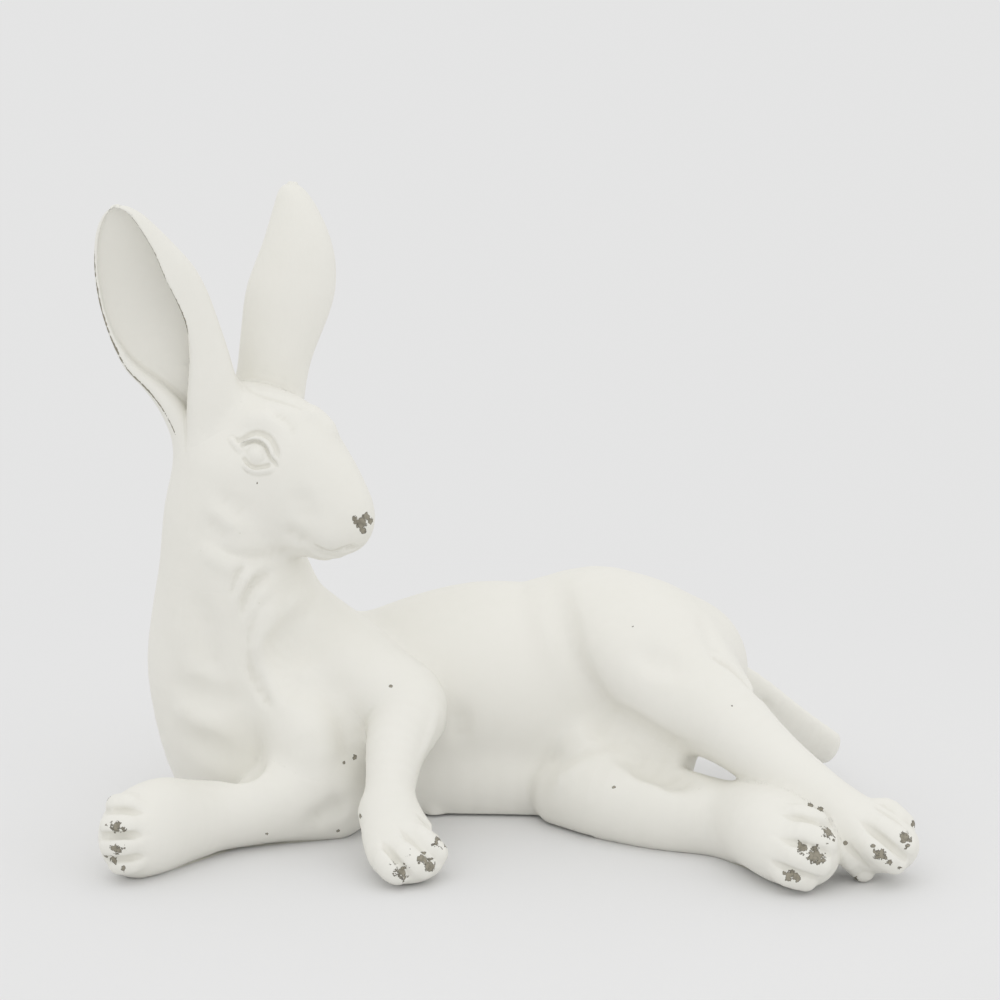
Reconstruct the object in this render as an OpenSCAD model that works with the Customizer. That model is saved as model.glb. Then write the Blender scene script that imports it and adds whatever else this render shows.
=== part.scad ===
// Reclining hare ornament: a hollow body casting with separate head, ears, limbs and tail,
// bonded on steel pins, closed underneath by a plate on felt pads.
// Places along the figure are shares, in hundredths, of its length, depth and height.
// Half widths are shares, in hundredths, of the girth of the casting that they belong to.

/* [Figure] */
// Length over all, from the near forepaw to the far hind paw
figure_l = 485; // [380:1:640]
// Depth over all, from the hind paw in front to the back
figure_d = 260; // [200:1:340]
// Height over all, to the tip of the tall ear
figure_h = 397; // [310:1:520]

/* [Body] */
// Girth of the trunk, lying on its side
torso_girth = 150; // [120:1:180]
// Girth of the belly where it meets the ground
belly_girth = 100; // [80:1:120]
// Girth of the neck and chest
neck_girth = 120; // [98:1:145]
// Wall of the hollow body casting
body_wall = 8; // [6:0.5:11]
// Width of the widest skin folds and hollows below the jaw
fold_w = 20; // [14:0.5:26]

/* [Head] */
// Length of the head from nape to nose
head_l = 125; // [102:1:150]
// Width of the head across the cheeks
head_w = 60; // [49:1:72]
// Height of the head from jaw to crown
head_h = 95; // [78:1:114]
// Turn of the face towards the front
head_turn = 26; // [15:1:40]
// Downward tilt of the face
head_tilt = 26; // [15:1:35]
// Diameter of the eyeball
eye_d = 17; // [13:0.5:21]
// Width of the nose pad
nose_w = 13; // [9:0.5:16]
// Length of the spigot that enters the neck
spigot_l = 22; // [16:1:30]

/* [Ears] */
// Length of the ear that stands away from the viewer
left_ear_l = 130; // [110:1:150]
// Length of the ear that leans back towards the viewer
right_ear_l = 160; // [135:1:185]
// Width of the near ear at its widest
ear_w = 58; // [48:1:68]
// Thickness of an ear's wall
ear_t = 5; // [4:0.5:7]
// Depth of an ear's cup
ear_cup = 17; // [13:0.5:21]

/* [Limbs] */
// Girth of a foreleg at the shoulder
foreleg_girth = 65; // [52:1:78]
// Girth of a forepaw
forepaw_girth = 46; // [38:1:55]
// Girth of a hind leg at the thigh
hind_leg_girth = 95; // [78:1:114]
// Girth of the lower hind leg that lies on the ground
shank_girth = 70; // [57:1:84]
// Girth of a hind paw
hind_paw_girth = 55; // [45:1:66]
// Diameter of a toe
toe_d = 14; // [11:0.5:17]
// Length of a claw
claw_l = 7; // [4:0.5:10]
// Girth of the flat tail
tail_girth = 30; // [24:1:37]

/* [Joining] */
// Diameter of a limb dowel
dowel_d = 10; // [8:0.5:12]
// Length of a limb dowel
dowel_l = 46; // [36:1:56]
// Diameter of an ear or tail pin
pin_d = 5; // [4:0.5:6]
// Length of an ear or tail pin
pin_l = 34; // [28:1:42]
// Gap round a dowel or pin in its socket
socket_gap = 0.3; // [0.2:0.05:0.5]
// Gap at a bonded seam between two castings
seam_gap = 0.3; // [0.2:0.05:0.5]

/* [Base] */
// Width of the base plate
plate_w = 46; // [38:1:55]
// Thickness of the base plate
plate_t = 5; // [3:0.5:7]
// Width of the ledge that the plate seats on
ledge_w = 5; // [3:0.5:7]
// Gap round the plate in its recess
plate_gap = 0.5; // [0.3:0.1:1]
// Diameter of the vent in the plate
vent_d = 16; // [10:1:22]
// Diameter of a felt pad
pad_d = 24; // [18:1:30]
// Thickness of a felt pad
pad_t = 1.5; // [1:0.25:3]

/* [Hidden] */

paint_c = [0.90, 0.89, 0.86];
steel_c = [0.62, 0.64, 0.66];
felt_c = [0.25, 0.24, 0.23];
plate_c = [0.80, 0.78, 0.74];

// How many units of length, depth and height the tables of places span from end to end
span_shares = [99, 99.9, 99.7];
hl = figure_l / span_shares[0];
hd = figure_d / span_shares[1];
hh = figure_h / span_shares[2];
up = [0, 0, 1];
front = [0, -1, 0];

// Facets: points round a casting, and steps between two stations
round_n = 22;
limb_n = 16;
steps = 2;
bore_n = 32;

// Middle of the figure's own box, along its length and depth
middle_shares = [0.6, -0.3];

// Trunk from the chest to the rump: x, y, z, half width, half height
torso_shares = [
    [-32, 19.5, 14, 30, 36.5], [-23, 22.5, 14, 35, 37.5], [-13, 25.5, 14.5, 38.5, 41.5],
    [-2.5, 26.5, 16.5, 40, 48], [5.5, 25.5, 17, 40, 49.5], [13, 23.5, 17, 39.5, 51.5],
    [19, 21.5, 15.5, 35, 44], [23, 20.5, 13, 28.5, 35]];
// Belly along the ground
belly_shares = [
    [-31, 18, 5, 40, 35], [-21, 19, 5, 40, 35], [-8.5, 21, 5, 45, 37.5],
    [3.5, 21, 5, 48, 37.5], [11.5, 18, 5, 45, 37.5], [22, 18, 5, 35, 35]];
// Withers, where the neck runs back into the trunk
withers_shares = [
    [-31, 18, 25, 33, 34], [-24, 22.5, 21, 34, 33], [-15, 26, 18, 31, 33]];
// Near upper arm, from the chest down to the elbow
upper_arm_shares = [[-27, 5, 22, 40, 40], [-25, 1, 17, 38, 40], [-23.5, -1, 12, 34, 36]];
// Neck and chest, from the ground up to the jaw
neck_shares = [
    [-31.5, 15, 2.5, 45, 39.5], [-32.5, 15, 11.5, 48.5, 40], [-33, 14, 22.5, 49.5, 39],
    [-33.5, 12, 31.5, 46, 36.5], [-34, 9.5, 40, 40.5, 34], [-34, 7.5, 49, 34, 31],
    [-33.5, 5.5, 56.5, 29, 27]];
// The neck is cut here, after this many stations
neck_cut_n = 4;

// Upper hind leg, from the haunch to the hock
left_hind_shares = [
    [13, 19.5, 26, 50, 47.5], [18, 12, 24.5, 50, 47.5], [22.5, 2.5, 20.5, 42, 39.5],
    [27.5, -9, 16.5, 29.5, 29.5], [32.5, -19, 13, 21.5, 22.5], [37, -26.5, 10, 18.5, 19],
    [41, -31, 7.5, 19.5, 18]];
left_hind_paw_shares = [
    [40.5, -30.5, 7, 34.5, 32.5], [43, -34, 6.5, 42, 36.5], [45.5, -36.5, 5.5, 40, 32],
    [47, -38.5, 5.5, 31, 25.5]];
// Lower hind leg, lying on the ground
right_hind_shares = [
    [8.5, 4.5, 6, 46.5, 46.5], [14, -3.5, 6.5, 46.5, 50], [20, -11, 6, 40, 45],
    [26, -17, 5.5, 31.5, 38.5], [30, -22.5, 5, 30, 37]];
right_hind_paw_shares = [
    [30, -24.5, 6, 42, 45.5], [32.5, -32, 6.5, 49, 45.5], [34.5, -39, 5.5, 49, 41],
    [36, -43, 5, 38, 32.5]];
// Upper foreleg, from the shoulder over the elbow to the wrist
left_fore_shares = [
    [-19.5, 10, 26, 50, 50], [-15.5, 4.5, 23.5, 47.5, 46], [-11.5, -3.5, 19.5, 38.5, 38.5],
    [-11, -13, 15, 29, 29], [-13, -22.5, 10.5, 23, 23], [-14, -26.5, 8, 25.5, 21.5]];
left_forepaw_shares = [
    [-14, -26.5, 8, 39, 33.5], [-13, -32, 5.5, 49, 33.5], [-11.5, -38, 3.5, 51, 26.5],
    [-11, -40.5, 3, 42, 22]];
// Lower foreleg, lying on the ground from the elbow to the wrist
right_fore_shares = [
    [-21.5, -6, 6.5, 35.5, 44.5], [-28, -10, 6, 36, 38.5], [-34, -16, 5.5, 32, 33],
    [-39.5, -21.5, 5.5, 32, 33]];
right_forepaw_shares = [
    [-38.5, -21.5, 5.5, 46, 50], [-41.5, -27.5, 6.5, 50, 60], [-44, -33, 6.5, 49, 58],
    [-45, -36.5, 6, 38, 48]];
tail_shares = [
    [24, 29.5, 18, 50, 40], [32, 31, 15, 46.5, 30], [38, 31, 11, 41.5, 28.5],
    [42, 30.5, 7, 36.5, 26.5]];

// Toes: knuckle x, y, z, then tip x, y, z
left_forepaw_toe_shares = [
    [-10, -28, 8.2, -8, -32, 5.6], [-11.5, -30, 7, -8.8, -35, 4], [-13, -31.5, 5.2, -10.4, -37, 2.6],
    [-14.6, -32, 4, -12.6, -38, 2.2]];
right_forepaw_toe_shares = [
    [-43, -28.5, 9.8, -45.6, -32, 9.8], [-43, -31, 7.6, -45.8, -35, 7.2], [-43, -32, 5, -45.8, -36, 4.8],
    [-43, -32, 2.8, -45, -36, 2.6]];
left_hind_toe_shares = [
    [45, -31, 8.4, 48, -34, 6.8], [43.6, -34.5, 7.6, 47, -38, 5], [42.6, -38, 6, 46, -41, 3.2],
    [41.6, -39, 4, 44, -42.5, 3.2]];
right_hind_toe_shares = [
    [33.6, -31.5, 9.4, 36, -38, 9.4], [34.6, -37, 7.6, 37.2, -43.5, 7.4], [33, -40, 5.8, 35.6, -46, 5.6],
    [31.6, -40, 3.4, 33.6, -46.5, 3]];
// Middle of the head, between the eyes
head_share = [-28, 4.25, 60.2];
// Head along its own length: forward, up, half width, half height
skull_shares = [
    [-32, -14.5, 36.5, 31.5], [-20, -18, 48.5, 45.5], [-8, -19.5, 51, 51], [4, -19.5, 49, 53],
    [16, -19.5, 46, 49.5], [28, -19.5, 41, 42], [38, -19.5, 36, 34], [47, -19.5, 32, 27.5],
    [52, -18.5, 25, 21]];

brow_shares = [[-8, 30, 11], [12, 23, 10]];
brow_size_share = [4.5, 8, 5];
cheek_shares = [[-12, 30, -28], [8, 27, -34]];
cheek_size_share = [12, 18, 15];
lip_shares = [[36, 12, -31], [49, 8, -29]];
lip_size_share = [7, 13, 9];
eye_share = [0, 30, 0];
nose_share = [56, 0, -9];
// Where each ear is rooted in the head, and how it leans back, splays out and faces
right_ear_share = [-28, -39, -27];
right_ear_back = 37.8;
right_ear_out = 11.6;
right_ear_face = 29.5;
left_ear_share = [-21, 37.5, 15];
left_ear_back = 21.7;
left_ear_out = 5.8;
left_ear_face = -155.5;
// Ears from root to tip: height, near edge, far edge and free rim across, depth, wall
right_ear_shares = [
    [-10, -14, 43, 5, 75, 100], [8, -14, 52, 11, 82, 100], [20, -16, 57, 19, 92, 100],
    [30, -24, 59, 27, 98, 100], [40, -36, 59, 33, 102, 100], [50, -41, 60, 36, 102, 100],
    [60, -42.5, 59, 33, 99, 100], [70, -41, 54, 29, 91, 100], [80, -36, 42, 27, 73, 95],
    [88, -28, 29, 21, 52, 90], [95, -17, 16, 13, 32, 80], [100, -6, 6, 4, 16, 60]];
left_ear_shares = [
    [-12, -33, 34, 33, 70, 100], [0, -33, 36, 35, 76, 100], [10, -33.5, 33.5, 33, 82, 100],
    [20, -37, 33, 32.5, 88, 100], [30, -43, 33, 32.5, 94, 100], [40, -49, 32.5, 32, 96, 100],
    [50, -53, 31, 30.5, 96, 100], [60, -52.5, 26, 25.5, 91, 100], [70, -48, 20, 19.5, 82, 100],
    [80, -39.5, 15.5, 15, 67, 95], [90, -27.5, 11.5, 11, 47, 90], [96, -18, 8.5, 8, 32, 80],
    [100, -8, 3.5, 3, 16, 60]];
ear_points = 9;
// How high the cup of each ear is solid, and where its pin sits: across, back and up
right_root_share = 19;
left_root_share = 14;
right_pin_share = [16, 10, 3];
left_pin_share = [0, 8, -7];

// Skin folds that run down from the jaw over the chest and shoulder, with the share of their
// width, and the hollows between them
fold_shares = [
    [[-31.8, -4.2, 37.2, 55], [-32.4, -4.5, 35, 55], [-32.7, -4.4, 33, 50], [-32.7, -4, 31, 40]],
    [[-27.4, 0, 36.2, 80], [-28.6, -1.4, 33.5, 95], [-29.4, -2, 29.2, 95], [-29, -4, 24, 70]],
    [[-23.5, 5, 36.5, 60], [-25.7, 0.5, 35, 70], [-27.4, -1.6, 32.3, 65], [-28.4, -2.2, 29.8, 55]]];
hollow_shares = [
    [[-23.6, 1.2, 33.6, 60], [-25.2, -1.6, 30, 80], [-25.6, -4.4, 26.8, 80], [-24.6, -8, 24.2, 65]],
    [[7, 17, 37.5, 80], [8, 5, 33.2, 120], [9.5, -1.5, 27.2, 120], [12, -4.4, 20.8, 120],
     [15.5, -7.4, 17.2, 110], [19, -13, 16.8, 80]]];

// Stations where each limb is cut from the body, and where its dowel sits
left_fore_cut_n = 1;
left_hind_cut_n = 2;
right_hind_cut_n = 1;
tail_cut_n = 1;
right_fore_dowel_share = [-27, -7, 6.5];
plate_end_shares = [[-30, 19.5], [14, 21]];
vent_share = [-8, 20.2];
pad_shares = [[-31, 19.5], [-20, 19.5], [3, 20.5], [15, 21]];

// Smaller fixed proportions
ledge_t = plate_t;
overrun = body_wall / 8;
reach = 3 * figure_l;
spigot_rim_share = 60;
claw_share = 40;
toe_taper_share = 78;
cap_angles = [28, 55, 80];
toe_n = 8;
fold_n = 10;
lump_n = 16;

// Splines and frames
function unit(v) = v / norm(v);
function bend(a, b, c, d, t) =
    0.5 * (2 * b + (c - a) * t + (2 * a - 5 * b + 4 * c - d) * t * t
           + (3 * b - a - 3 * c + d) * t * t * t);
function at(rows, i) =
    i < 0 ? 2 * rows[0] - rows[1]
    : i >= len(rows) ? 2 * rows[len(rows) - 1] - rows[len(rows) - 2] : rows[i];
function smooth(rows, n) = [
    for (i = [0 : len(rows) - 2]) for (k = [0 : n - 1])
        bend(at(rows, i - 1), rows[i], rows[i + 1], at(rows, i + 2), k / n),
    rows[len(rows) - 1]];
function placed(rows, girth) = [
    for (r = rows) [each place(r), r[3] * girth / 100, r[4] * girth / 100]];
function in_head(rows) = [
    for (r = rows)
        [r[0] * head_l / 100, 0, r[1] * head_h / 100, r[2] * head_w / 100, r[3] * head_h / 100]];
function spot(r) = [r[0], r[1], r[2]];
function place(r) = [(r[0] - middle_shares[0]) * hl, (r[1] - middle_shares[1]) * hd, r[2] * hh];
function ground_spot(s) = [(s[0] - middle_shares[0]) * hl, (s[1] - middle_shares[1]) * hd];
function first_to_last(v) = [for (i = [len(v) - 1 : -1 : 0]) v[i]];
function heading(rows, i) = unit(spot(at(rows, i + 1)) - spot(at(rows, i - 1)));

// One ring of n points round a station, pushed along the path and shrunk for the round ends
function ring(row, way, top, n, grow, push, shrink) =
    let (side = unit(cross(top, way)), high = cross(way, side))
    [for (k = [0 : n - 1])
        spot(row) + way * push
        + side * (row[3] + grow) * shrink * cos(360 * k / n)
        + high * (row[4] + grow) * shrink * sin(360 * k / n)];
function end_rings(row, way, top, n, grow, angles) =
    let (bulge = min(row[3], row[4]) + grow)
    [for (a = angles) ring(row, way, top, n, grow, bulge * sin(a), cos(a))];
function path_rings(rows, from, to, top, n, grow) =
    let (last = len(rows) - 1)
    concat(
        from == 0 ? end_rings(rows[0], heading(rows, 0), top, n, grow, -first_to_last(cap_angles)) : [],
        [for (i = [from : to]) ring(rows[i], heading(rows, i), top, n, grow, 0, 1)],
        to == last ? end_rings(rows[last], heading(rows, last), top, n, grow, cap_angles) : []);

// A closed skin over a row of rings
module loft(rings) {
    n = len(rings[0]);
    m = len(rings);
    points = [for (r = rings) for (p = r) p];
    walls = [for (i = [0 : m - 2]) for (k = [0 : n - 1])
        let (a = i * n + k, b = i * n + (k + 1) % n)
        each [[a, b + n, b], [a, a + n, b + n]]];
    first = [for (k = [0 : n - 1]) k];
    last = [for (k = [0 : n - 1]) m * n - 1 - k];
    polyhedron(points, concat(walls, [first, last]), convexity = 6);
}

// A swelling, tapering form along its stations, whole or from one station to another
module form(rows, grow = 0, top = up, n = limb_n, from = 0, to = -1) {
    path = smooth(rows, steps);
    loft(path_rings(path, from * steps, to < 0 ? len(path) - 1 : to * steps, top, n, grow));
}

// Moves the children to a station, with their z axis along the path
module on_path(rows, i) {
    path = smooth(rows, steps);
    way = heading(path, i * steps);
    translate(spot(path[i * steps]))
        rotate([0, acos(way[2]), atan2(way[1], way[0])])
            children();
}

torso = placed(torso_shares, torso_girth);
withers = placed(withers_shares, torso_girth);
upper_arm = placed(upper_arm_shares, foreleg_girth);
belly = placed(belly_shares, belly_girth);
neck = placed(neck_shares, neck_girth);
left_hind = placed(left_hind_shares, hind_leg_girth);
left_hind_paw = placed(left_hind_paw_shares, hind_paw_girth);
right_hind = placed(right_hind_shares, shank_girth);
right_hind_paw = placed(right_hind_paw_shares, hind_paw_girth);
left_fore = placed(left_fore_shares, foreleg_girth);
left_forepaw = placed(left_forepaw_shares, forepaw_girth);
right_fore = placed(right_fore_shares, foreleg_girth);
right_forepaw = placed(right_forepaw_shares, forepaw_girth);
tail_path = placed(tail_shares, tail_girth);
skull = in_head(skull_shares);
neck_path = smooth(neck, steps);
neck_way = heading(neck_path, neck_cut_n * steps);
neck_row = neck_path[neck_cut_n * steps];

module above(z) {
    intersection() {
        children();
        translate([0, 0, z + reach / 2])
            cube(reach, center = true);
    }
}

module trunk(grow) {
    form(torso, grow, n = round_n);
    form(belly, grow, n = round_n);
    form(neck, grow, front, round_n, to = neck_cut_n);
    form(withers, grow);
    form(upper_arm, grow);
}

// Where the spigot of the head enters the neck, inside a rim that is thinner than the wall
module neck_plug(length, grow, over) {
    rim = body_wall * spigot_rim_share / 100;
    loft([for (push = [-length, over])
        ring(neck_row, neck_way, front, round_n, grow - rim, push, 1)]);
}

module dowel(d, l) {
    cylinder(d = d, h = l, center = true, $fn = bore_n);
}

module at_left_fore() { on_path(left_fore, left_fore_cut_n) children(); }
module at_left_hind() { on_path(left_hind, left_hind_cut_n) children(); }
module at_right_hind() { on_path(right_hind, right_hind_cut_n) children(); }
module at_right_fore() {
    translate(place(right_fore_dowel_share))
        rotate([90, 0, 0])
            children();
}
module at_tail() { on_path(tail_path, tail_cut_n) children(); }
module at_limbs() {
    at_left_fore() children();
    at_left_hind() children();
    at_right_hind() children();
    at_right_fore() children();
}

module plate_outline(grow) {
    hull()
        for (s = plate_end_shares)
            translate(ground_spot(s))
                circle(r = plate_w / 2 + grow, $fn = 2 * bore_n);
}

// Raised folds or hollows along their stations
module folds(shares) {
    for (fold = shares)
        form([for (r = fold) [each place(r), r[3] * fold_w / 200, r[3] * fold_w / 200]], n = fold_n);
}

module body_shell() {
    floor_z = pad_t + plate_t + ledge_t;
    color(paint_c)
    difference() {
        above(pad_t) {
            trunk(0);
            form(left_fore, to = left_fore_cut_n);
            form(left_hind, n = round_n, to = left_hind_cut_n);
            form(right_hind, to = right_hind_cut_n);
            folds(fold_shares);
        }
        folds(hollow_shares);
        difference() {
            above(floor_z) trunk(-body_wall);
            at_limbs() dowel(dowel_d + 2 * body_wall, dowel_l + 2 * body_wall);
            at_tail() dowel(pin_d + 2 * body_wall, pin_l + 2 * body_wall);
        }
        neck_plug(spigot_l + socket_gap, 0, overrun);
        translate([0, 0, pad_t - overrun])
            linear_extrude(plate_t + overrun) plate_outline(plate_gap);
        translate([0, 0, pad_t])
            linear_extrude(plate_t + 2 * ledge_t) plate_outline(-ledge_w);
        at_limbs() dowel(dowel_d + 2 * socket_gap, dowel_l + 2 * socket_gap);
        at_tail() dowel(pin_d + 2 * socket_gap, pin_l + 2 * socket_gap);
    }
}

module toes(rows) {
    for (r = rows)
        toe(place([r[0], r[1], r[2]]), place([r[3], r[4], r[5]]));
}

// A toe from its knuckle to its tip, with a short blunt claw
module toe(knuckle, tip) {
    toe_r = toe_d / 2;
    tip_r = toe_r * toe_taper_share / 100;
    claw_r = tip_r * claw_share / 100;
    claw = tip + unit(tip - knuckle) * (tip_r + claw_l / 2);
    rows = [[each knuckle, toe_r, toe_r], [each tip, tip_r, tip_r], [each claw, claw_r, claw_r]];
    loft(path_rings(rows, 0, 2, up, toe_n, 0));
}

module left_foreleg() {
    color(paint_c)
    difference() {
        above(0) {
            form(left_fore, from = left_fore_cut_n);
            form(left_forepaw);
            toes(left_forepaw_toe_shares);
        }
        trunk(seam_gap);
        at_left_fore() dowel(dowel_d + 2 * socket_gap, dowel_l + 2 * socket_gap);
    }
}

module right_foreleg() {
    color(paint_c)
    difference() {
        above(0) {
            form(right_fore);
            form(right_forepaw);
            toes(right_forepaw_toe_shares);
        }
        trunk(seam_gap);
        at_right_fore() dowel(dowel_d + 2 * socket_gap, dowel_l + 2 * socket_gap);
    }
}

module left_hind_leg() {
    color(paint_c)
    difference() {
        above(0) {
            form(left_hind, from = left_hind_cut_n);
            form(left_hind_paw);
            toes(left_hind_toe_shares);
        }
        trunk(seam_gap);
        at_left_hind() dowel(dowel_d + 2 * socket_gap, dowel_l + 2 * socket_gap);
    }
}

module right_hind_leg() {
    color(paint_c)
    difference() {
        above(0) {
            form(right_hind, from = right_hind_cut_n);
            form(right_hind_paw);
            toes(right_hind_toe_shares);
        }
        trunk(seam_gap);
        form(left_hind, seam_gap, n = round_n);
        at_right_hind() dowel(dowel_d + 2 * socket_gap, dowel_l + 2 * socket_gap);
    }
}

module tail() {
    color(paint_c)
    difference() {
        form(tail_path);
        trunk(seam_gap);
        at_tail() dowel(pin_d + 2 * socket_gap, pin_l + 2 * socket_gap);
    }
}

// The head's own frame: x forward, y to its left, z up
module head_frame() {
    translate(place(head_share))
        rotate([0, head_tilt, -head_turn])
            children();
}
function head_spot(s) = [s[0] * head_l / 100, s[1] * head_w / 100, s[2] * head_h / 100];

module pair() {
    children();
    mirror([0, 1, 0]) children();
}

// A long low swelling between two places on the head
module swelling(ends, size_share) {
    hull()
        for (s = ends)
            translate(head_spot(s))
                scale(head_spot(size_share))
                    sphere(r = 1, $fn = lump_n);
}

module head_features() {
    pair() {
        translate(head_spot(eye_share)) sphere(d = eye_d, $fn = lump_n);
        swelling(brow_shares, brow_size_share);
        swelling(cheek_shares, cheek_size_share);
        swelling(lip_shares, lip_size_share);
    }
    translate(head_spot(nose_share)) sphere(d = nose_w, $fn = lump_n);
}

module head_mass(grow) {
    head_frame() form(skull, grow, n = round_n);
    form(neck, grow, front, round_n, from = neck_cut_n);
}

module ear_frame(share, back, out, face) {
    head_frame()
        translate(head_spot(share))
            rotate([out, -back, 0])
                rotate(face)
                    children();
}
module at_right_ear() {
    ear_frame(right_ear_share, right_ear_back, right_ear_out, right_ear_face) children();
}
module at_left_ear() {
    ear_frame(left_ear_share, left_ear_back, -left_ear_out, left_ear_face) children();
}
module at_pin(share, l) {
    translate([share[0] * ear_w / 100, share[1] * ear_w / 100, share[2] * l / 100]) children();
}
module at_right_pin() { at_right_ear() at_pin(right_pin_share, right_ear_l) children(); }
module at_left_pin() { at_left_ear() at_pin(left_pin_share, left_ear_l) children(); }

module head() {
    color(paint_c)
    difference() {
        union() {
            head_mass(0);
            head_frame() head_features();
            neck_plug(spigot_l, -socket_gap, overrun);
        }
        form(neck, -2 * body_wall, front, from = neck_cut_n - 1, to = neck_cut_n + 1);
        neck_plug(spigot_l + overrun, -body_wall, 0);
        at_right_pin() dowel(pin_d + 2 * socket_gap, pin_l + 2 * socket_gap);
        at_left_pin() dowel(pin_d + 2 * socket_gap, pin_l + 2 * socket_gap);
    }
}

// An ear's section is part of an ellipse's wall, from its free rim on the open side round the
// back to its near edge. These are its points at a distance out from the middle of the wall
function ear_arc(row, l, out) =
    let (wide = (row[2] - row[1]) / 2, middle = (row[2] + row[1]) / 2,
         start = acos(min((row[3] - middle) / wide, 1)),
         thick = out * row[5] / 100)
    [for (k = [0 : ear_points])
        let (a = start - (start + 180) * k / ear_points)
        [middle * ear_w / 100 + (wide * ear_w / 100 + thick) * cos(a),
         -(row[4] * ear_cup / 100 + thick) * sin(a),
         row[0] * l / 100]];

module ear(shares, root_share, l) {
    rows = smooth(shares, steps);
    loft([for (r = rows)
        concat(ear_arc(r, l, ear_t / 2), first_to_last(ear_arc(r, l, -ear_t / 2)))]);
    loft([for (r = rows) if (r[0] < root_share) ear_arc(r, l, 0)]);
}

module left_ear() {
    color(paint_c)
    difference() {
        at_left_ear() ear(left_ear_shares, left_root_share, left_ear_l);
        head_mass(seam_gap);
        at_left_pin() dowel(pin_d + 2 * socket_gap, pin_l + 2 * socket_gap);
    }
}

module right_ear() {
    color(paint_c)
    difference() {
        at_right_ear() ear(right_ear_shares, right_root_share, right_ear_l);
        head_mass(seam_gap);
        at_right_pin() dowel(pin_d + 2 * socket_gap, pin_l + 2 * socket_gap);
    }
}

module base_plate() {
    color(plate_c)
    translate([0, 0, pad_t])
        linear_extrude(plate_t)
            difference() {
                plate_outline(0);
                translate(ground_spot(vent_share))
                    circle(d = vent_d, $fn = bore_n);
            }
}

module limb_dowels() {
    color(steel_c)
    at_limbs() dowel(dowel_d, dowel_l);
}

module ear_pins() {
    color(steel_c) {
        at_left_pin() dowel(pin_d, pin_l);
        at_right_pin() dowel(pin_d, pin_l);
    }
}

module tail_pin() {
    color(steel_c)
    at_tail() dowel(pin_d, pin_l);
}

module felt_pads() {
    color(felt_c)
    for (s = pad_shares)
        translate(ground_spot(s))
            cylinder(d = pad_d, h = pad_t, $fn = bore_n);
}

body_shell();
head();
left_ear();
right_ear();
left_foreleg();
right_foreleg();
left_hind_leg();
right_hind_leg();
tail();
base_plate();
limb_dowels();
ear_pins();
tail_pin();
felt_pads();
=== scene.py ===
"""A reclining hare ornament: painted castings worked out as one clay figure and parted at their seams.

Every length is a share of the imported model's own box. The figure is first blended from limbs,
folds and grooves in a block of distances, in hundredths of its length, and each casting is then
cut from that block at its own fineness, closed at its seams and carried into metres."""

import functools

import bpy
import numpy as np
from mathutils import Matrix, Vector


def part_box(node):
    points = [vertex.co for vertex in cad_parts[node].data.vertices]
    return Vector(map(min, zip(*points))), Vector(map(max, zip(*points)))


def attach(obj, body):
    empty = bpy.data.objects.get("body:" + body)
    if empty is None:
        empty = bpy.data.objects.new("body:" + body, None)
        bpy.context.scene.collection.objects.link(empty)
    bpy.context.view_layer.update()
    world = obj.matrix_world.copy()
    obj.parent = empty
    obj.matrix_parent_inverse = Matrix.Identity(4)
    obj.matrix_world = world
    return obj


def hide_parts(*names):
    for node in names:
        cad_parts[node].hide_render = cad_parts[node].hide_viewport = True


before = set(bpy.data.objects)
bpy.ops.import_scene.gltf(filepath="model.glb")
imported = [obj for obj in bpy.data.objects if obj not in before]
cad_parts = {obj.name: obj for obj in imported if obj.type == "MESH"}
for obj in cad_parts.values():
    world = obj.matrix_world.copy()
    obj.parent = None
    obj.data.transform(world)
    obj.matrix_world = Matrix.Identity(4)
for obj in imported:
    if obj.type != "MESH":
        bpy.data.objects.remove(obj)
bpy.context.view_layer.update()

bl_info = {
    "name": "Reclining Hare Ornament",
    "version": (1, 0, 0),
    "blender": (4, 5, 0),
    "location": "View3D > Sidebar > Hare",
    "description": "Builds the castings, fittings and stage of a reclining hare ornament",
    "category": "Object",
}

# The length from the near forepaw to the far hind paw in the figure's own units, hundredths of
# its length with the ears' overhang
SPAN = 96.93
UNIT = (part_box("left_hind_leg")[1].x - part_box("right_foreleg")[0].x) / SPAN
# From the middle of the figure's base to the origin of the frame, in units
TO_FRAME = np.array([-1.09, 1.41, 0.0])
PAD_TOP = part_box("felt_pads")[1].z / UNIT
PLATE_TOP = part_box("base_plate")[1].z / UNIT
# Seat of the plate in the body: the ends of its middle line, and its radius
PLATE_ENDS = np.array([(-28.9, 8.9), (14.2, 9.7)])
PLATE_R = 4.7
# How far two castings lap at a seam, and how far each sinks there
SEAM_LAP = 0.25
SEAM_SINK = 0.02

# The view of the photograph: its tilt, distance, aim, and focal length in pixels of a
# picture that is 1000 pixels wide
VIEW_TILT = np.radians(14)
VIEW_AWAY = 400.0
VIEW_AIM = np.array([0.0, 0.0, 41.0])
VIEW_FOCAL = 3300.0
PICTURE = 1000.0
SENSOR = 36.0
VIEW_BACK = np.array([0.0, -np.cos(VIEW_TILT), np.sin(VIEW_TILT)])
VIEW_UP = np.array([0.0, np.sin(VIEW_TILT), np.cos(VIEW_TILT)])
VIEW_RIGHT = np.array([1.0, 0.0, 0.0])
VIEW_FROM = VIEW_AIM + VIEW_AWAY * VIEW_BACK
# How far the figure reaches before and behind the aim, and the steps that a line of sight takes
FIGURE_BEFORE = 42.0
FIGURE_BEHIND = 45.0
SIGHT_STEPS = 160

# A distance at which nothing is near, and a floor below every casting that doesn't reach the ground
FAR = 60.0
FLOORLESS = -9.0
# Keeps a division from meeting zero
TINY = 1e-9
# Steps of the grid over which a smooth slope is taken, and rounds in which a skin settles
SMOOTH_REACH = 1.5
SETTLING_ROUNDS = 3
# How near the ends of its half width an ear's free rim may come
RIM_LIMIT = 0.98
# Kinds of a mark on the clay
RIDGE, GROOVE = 1, -1

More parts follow.
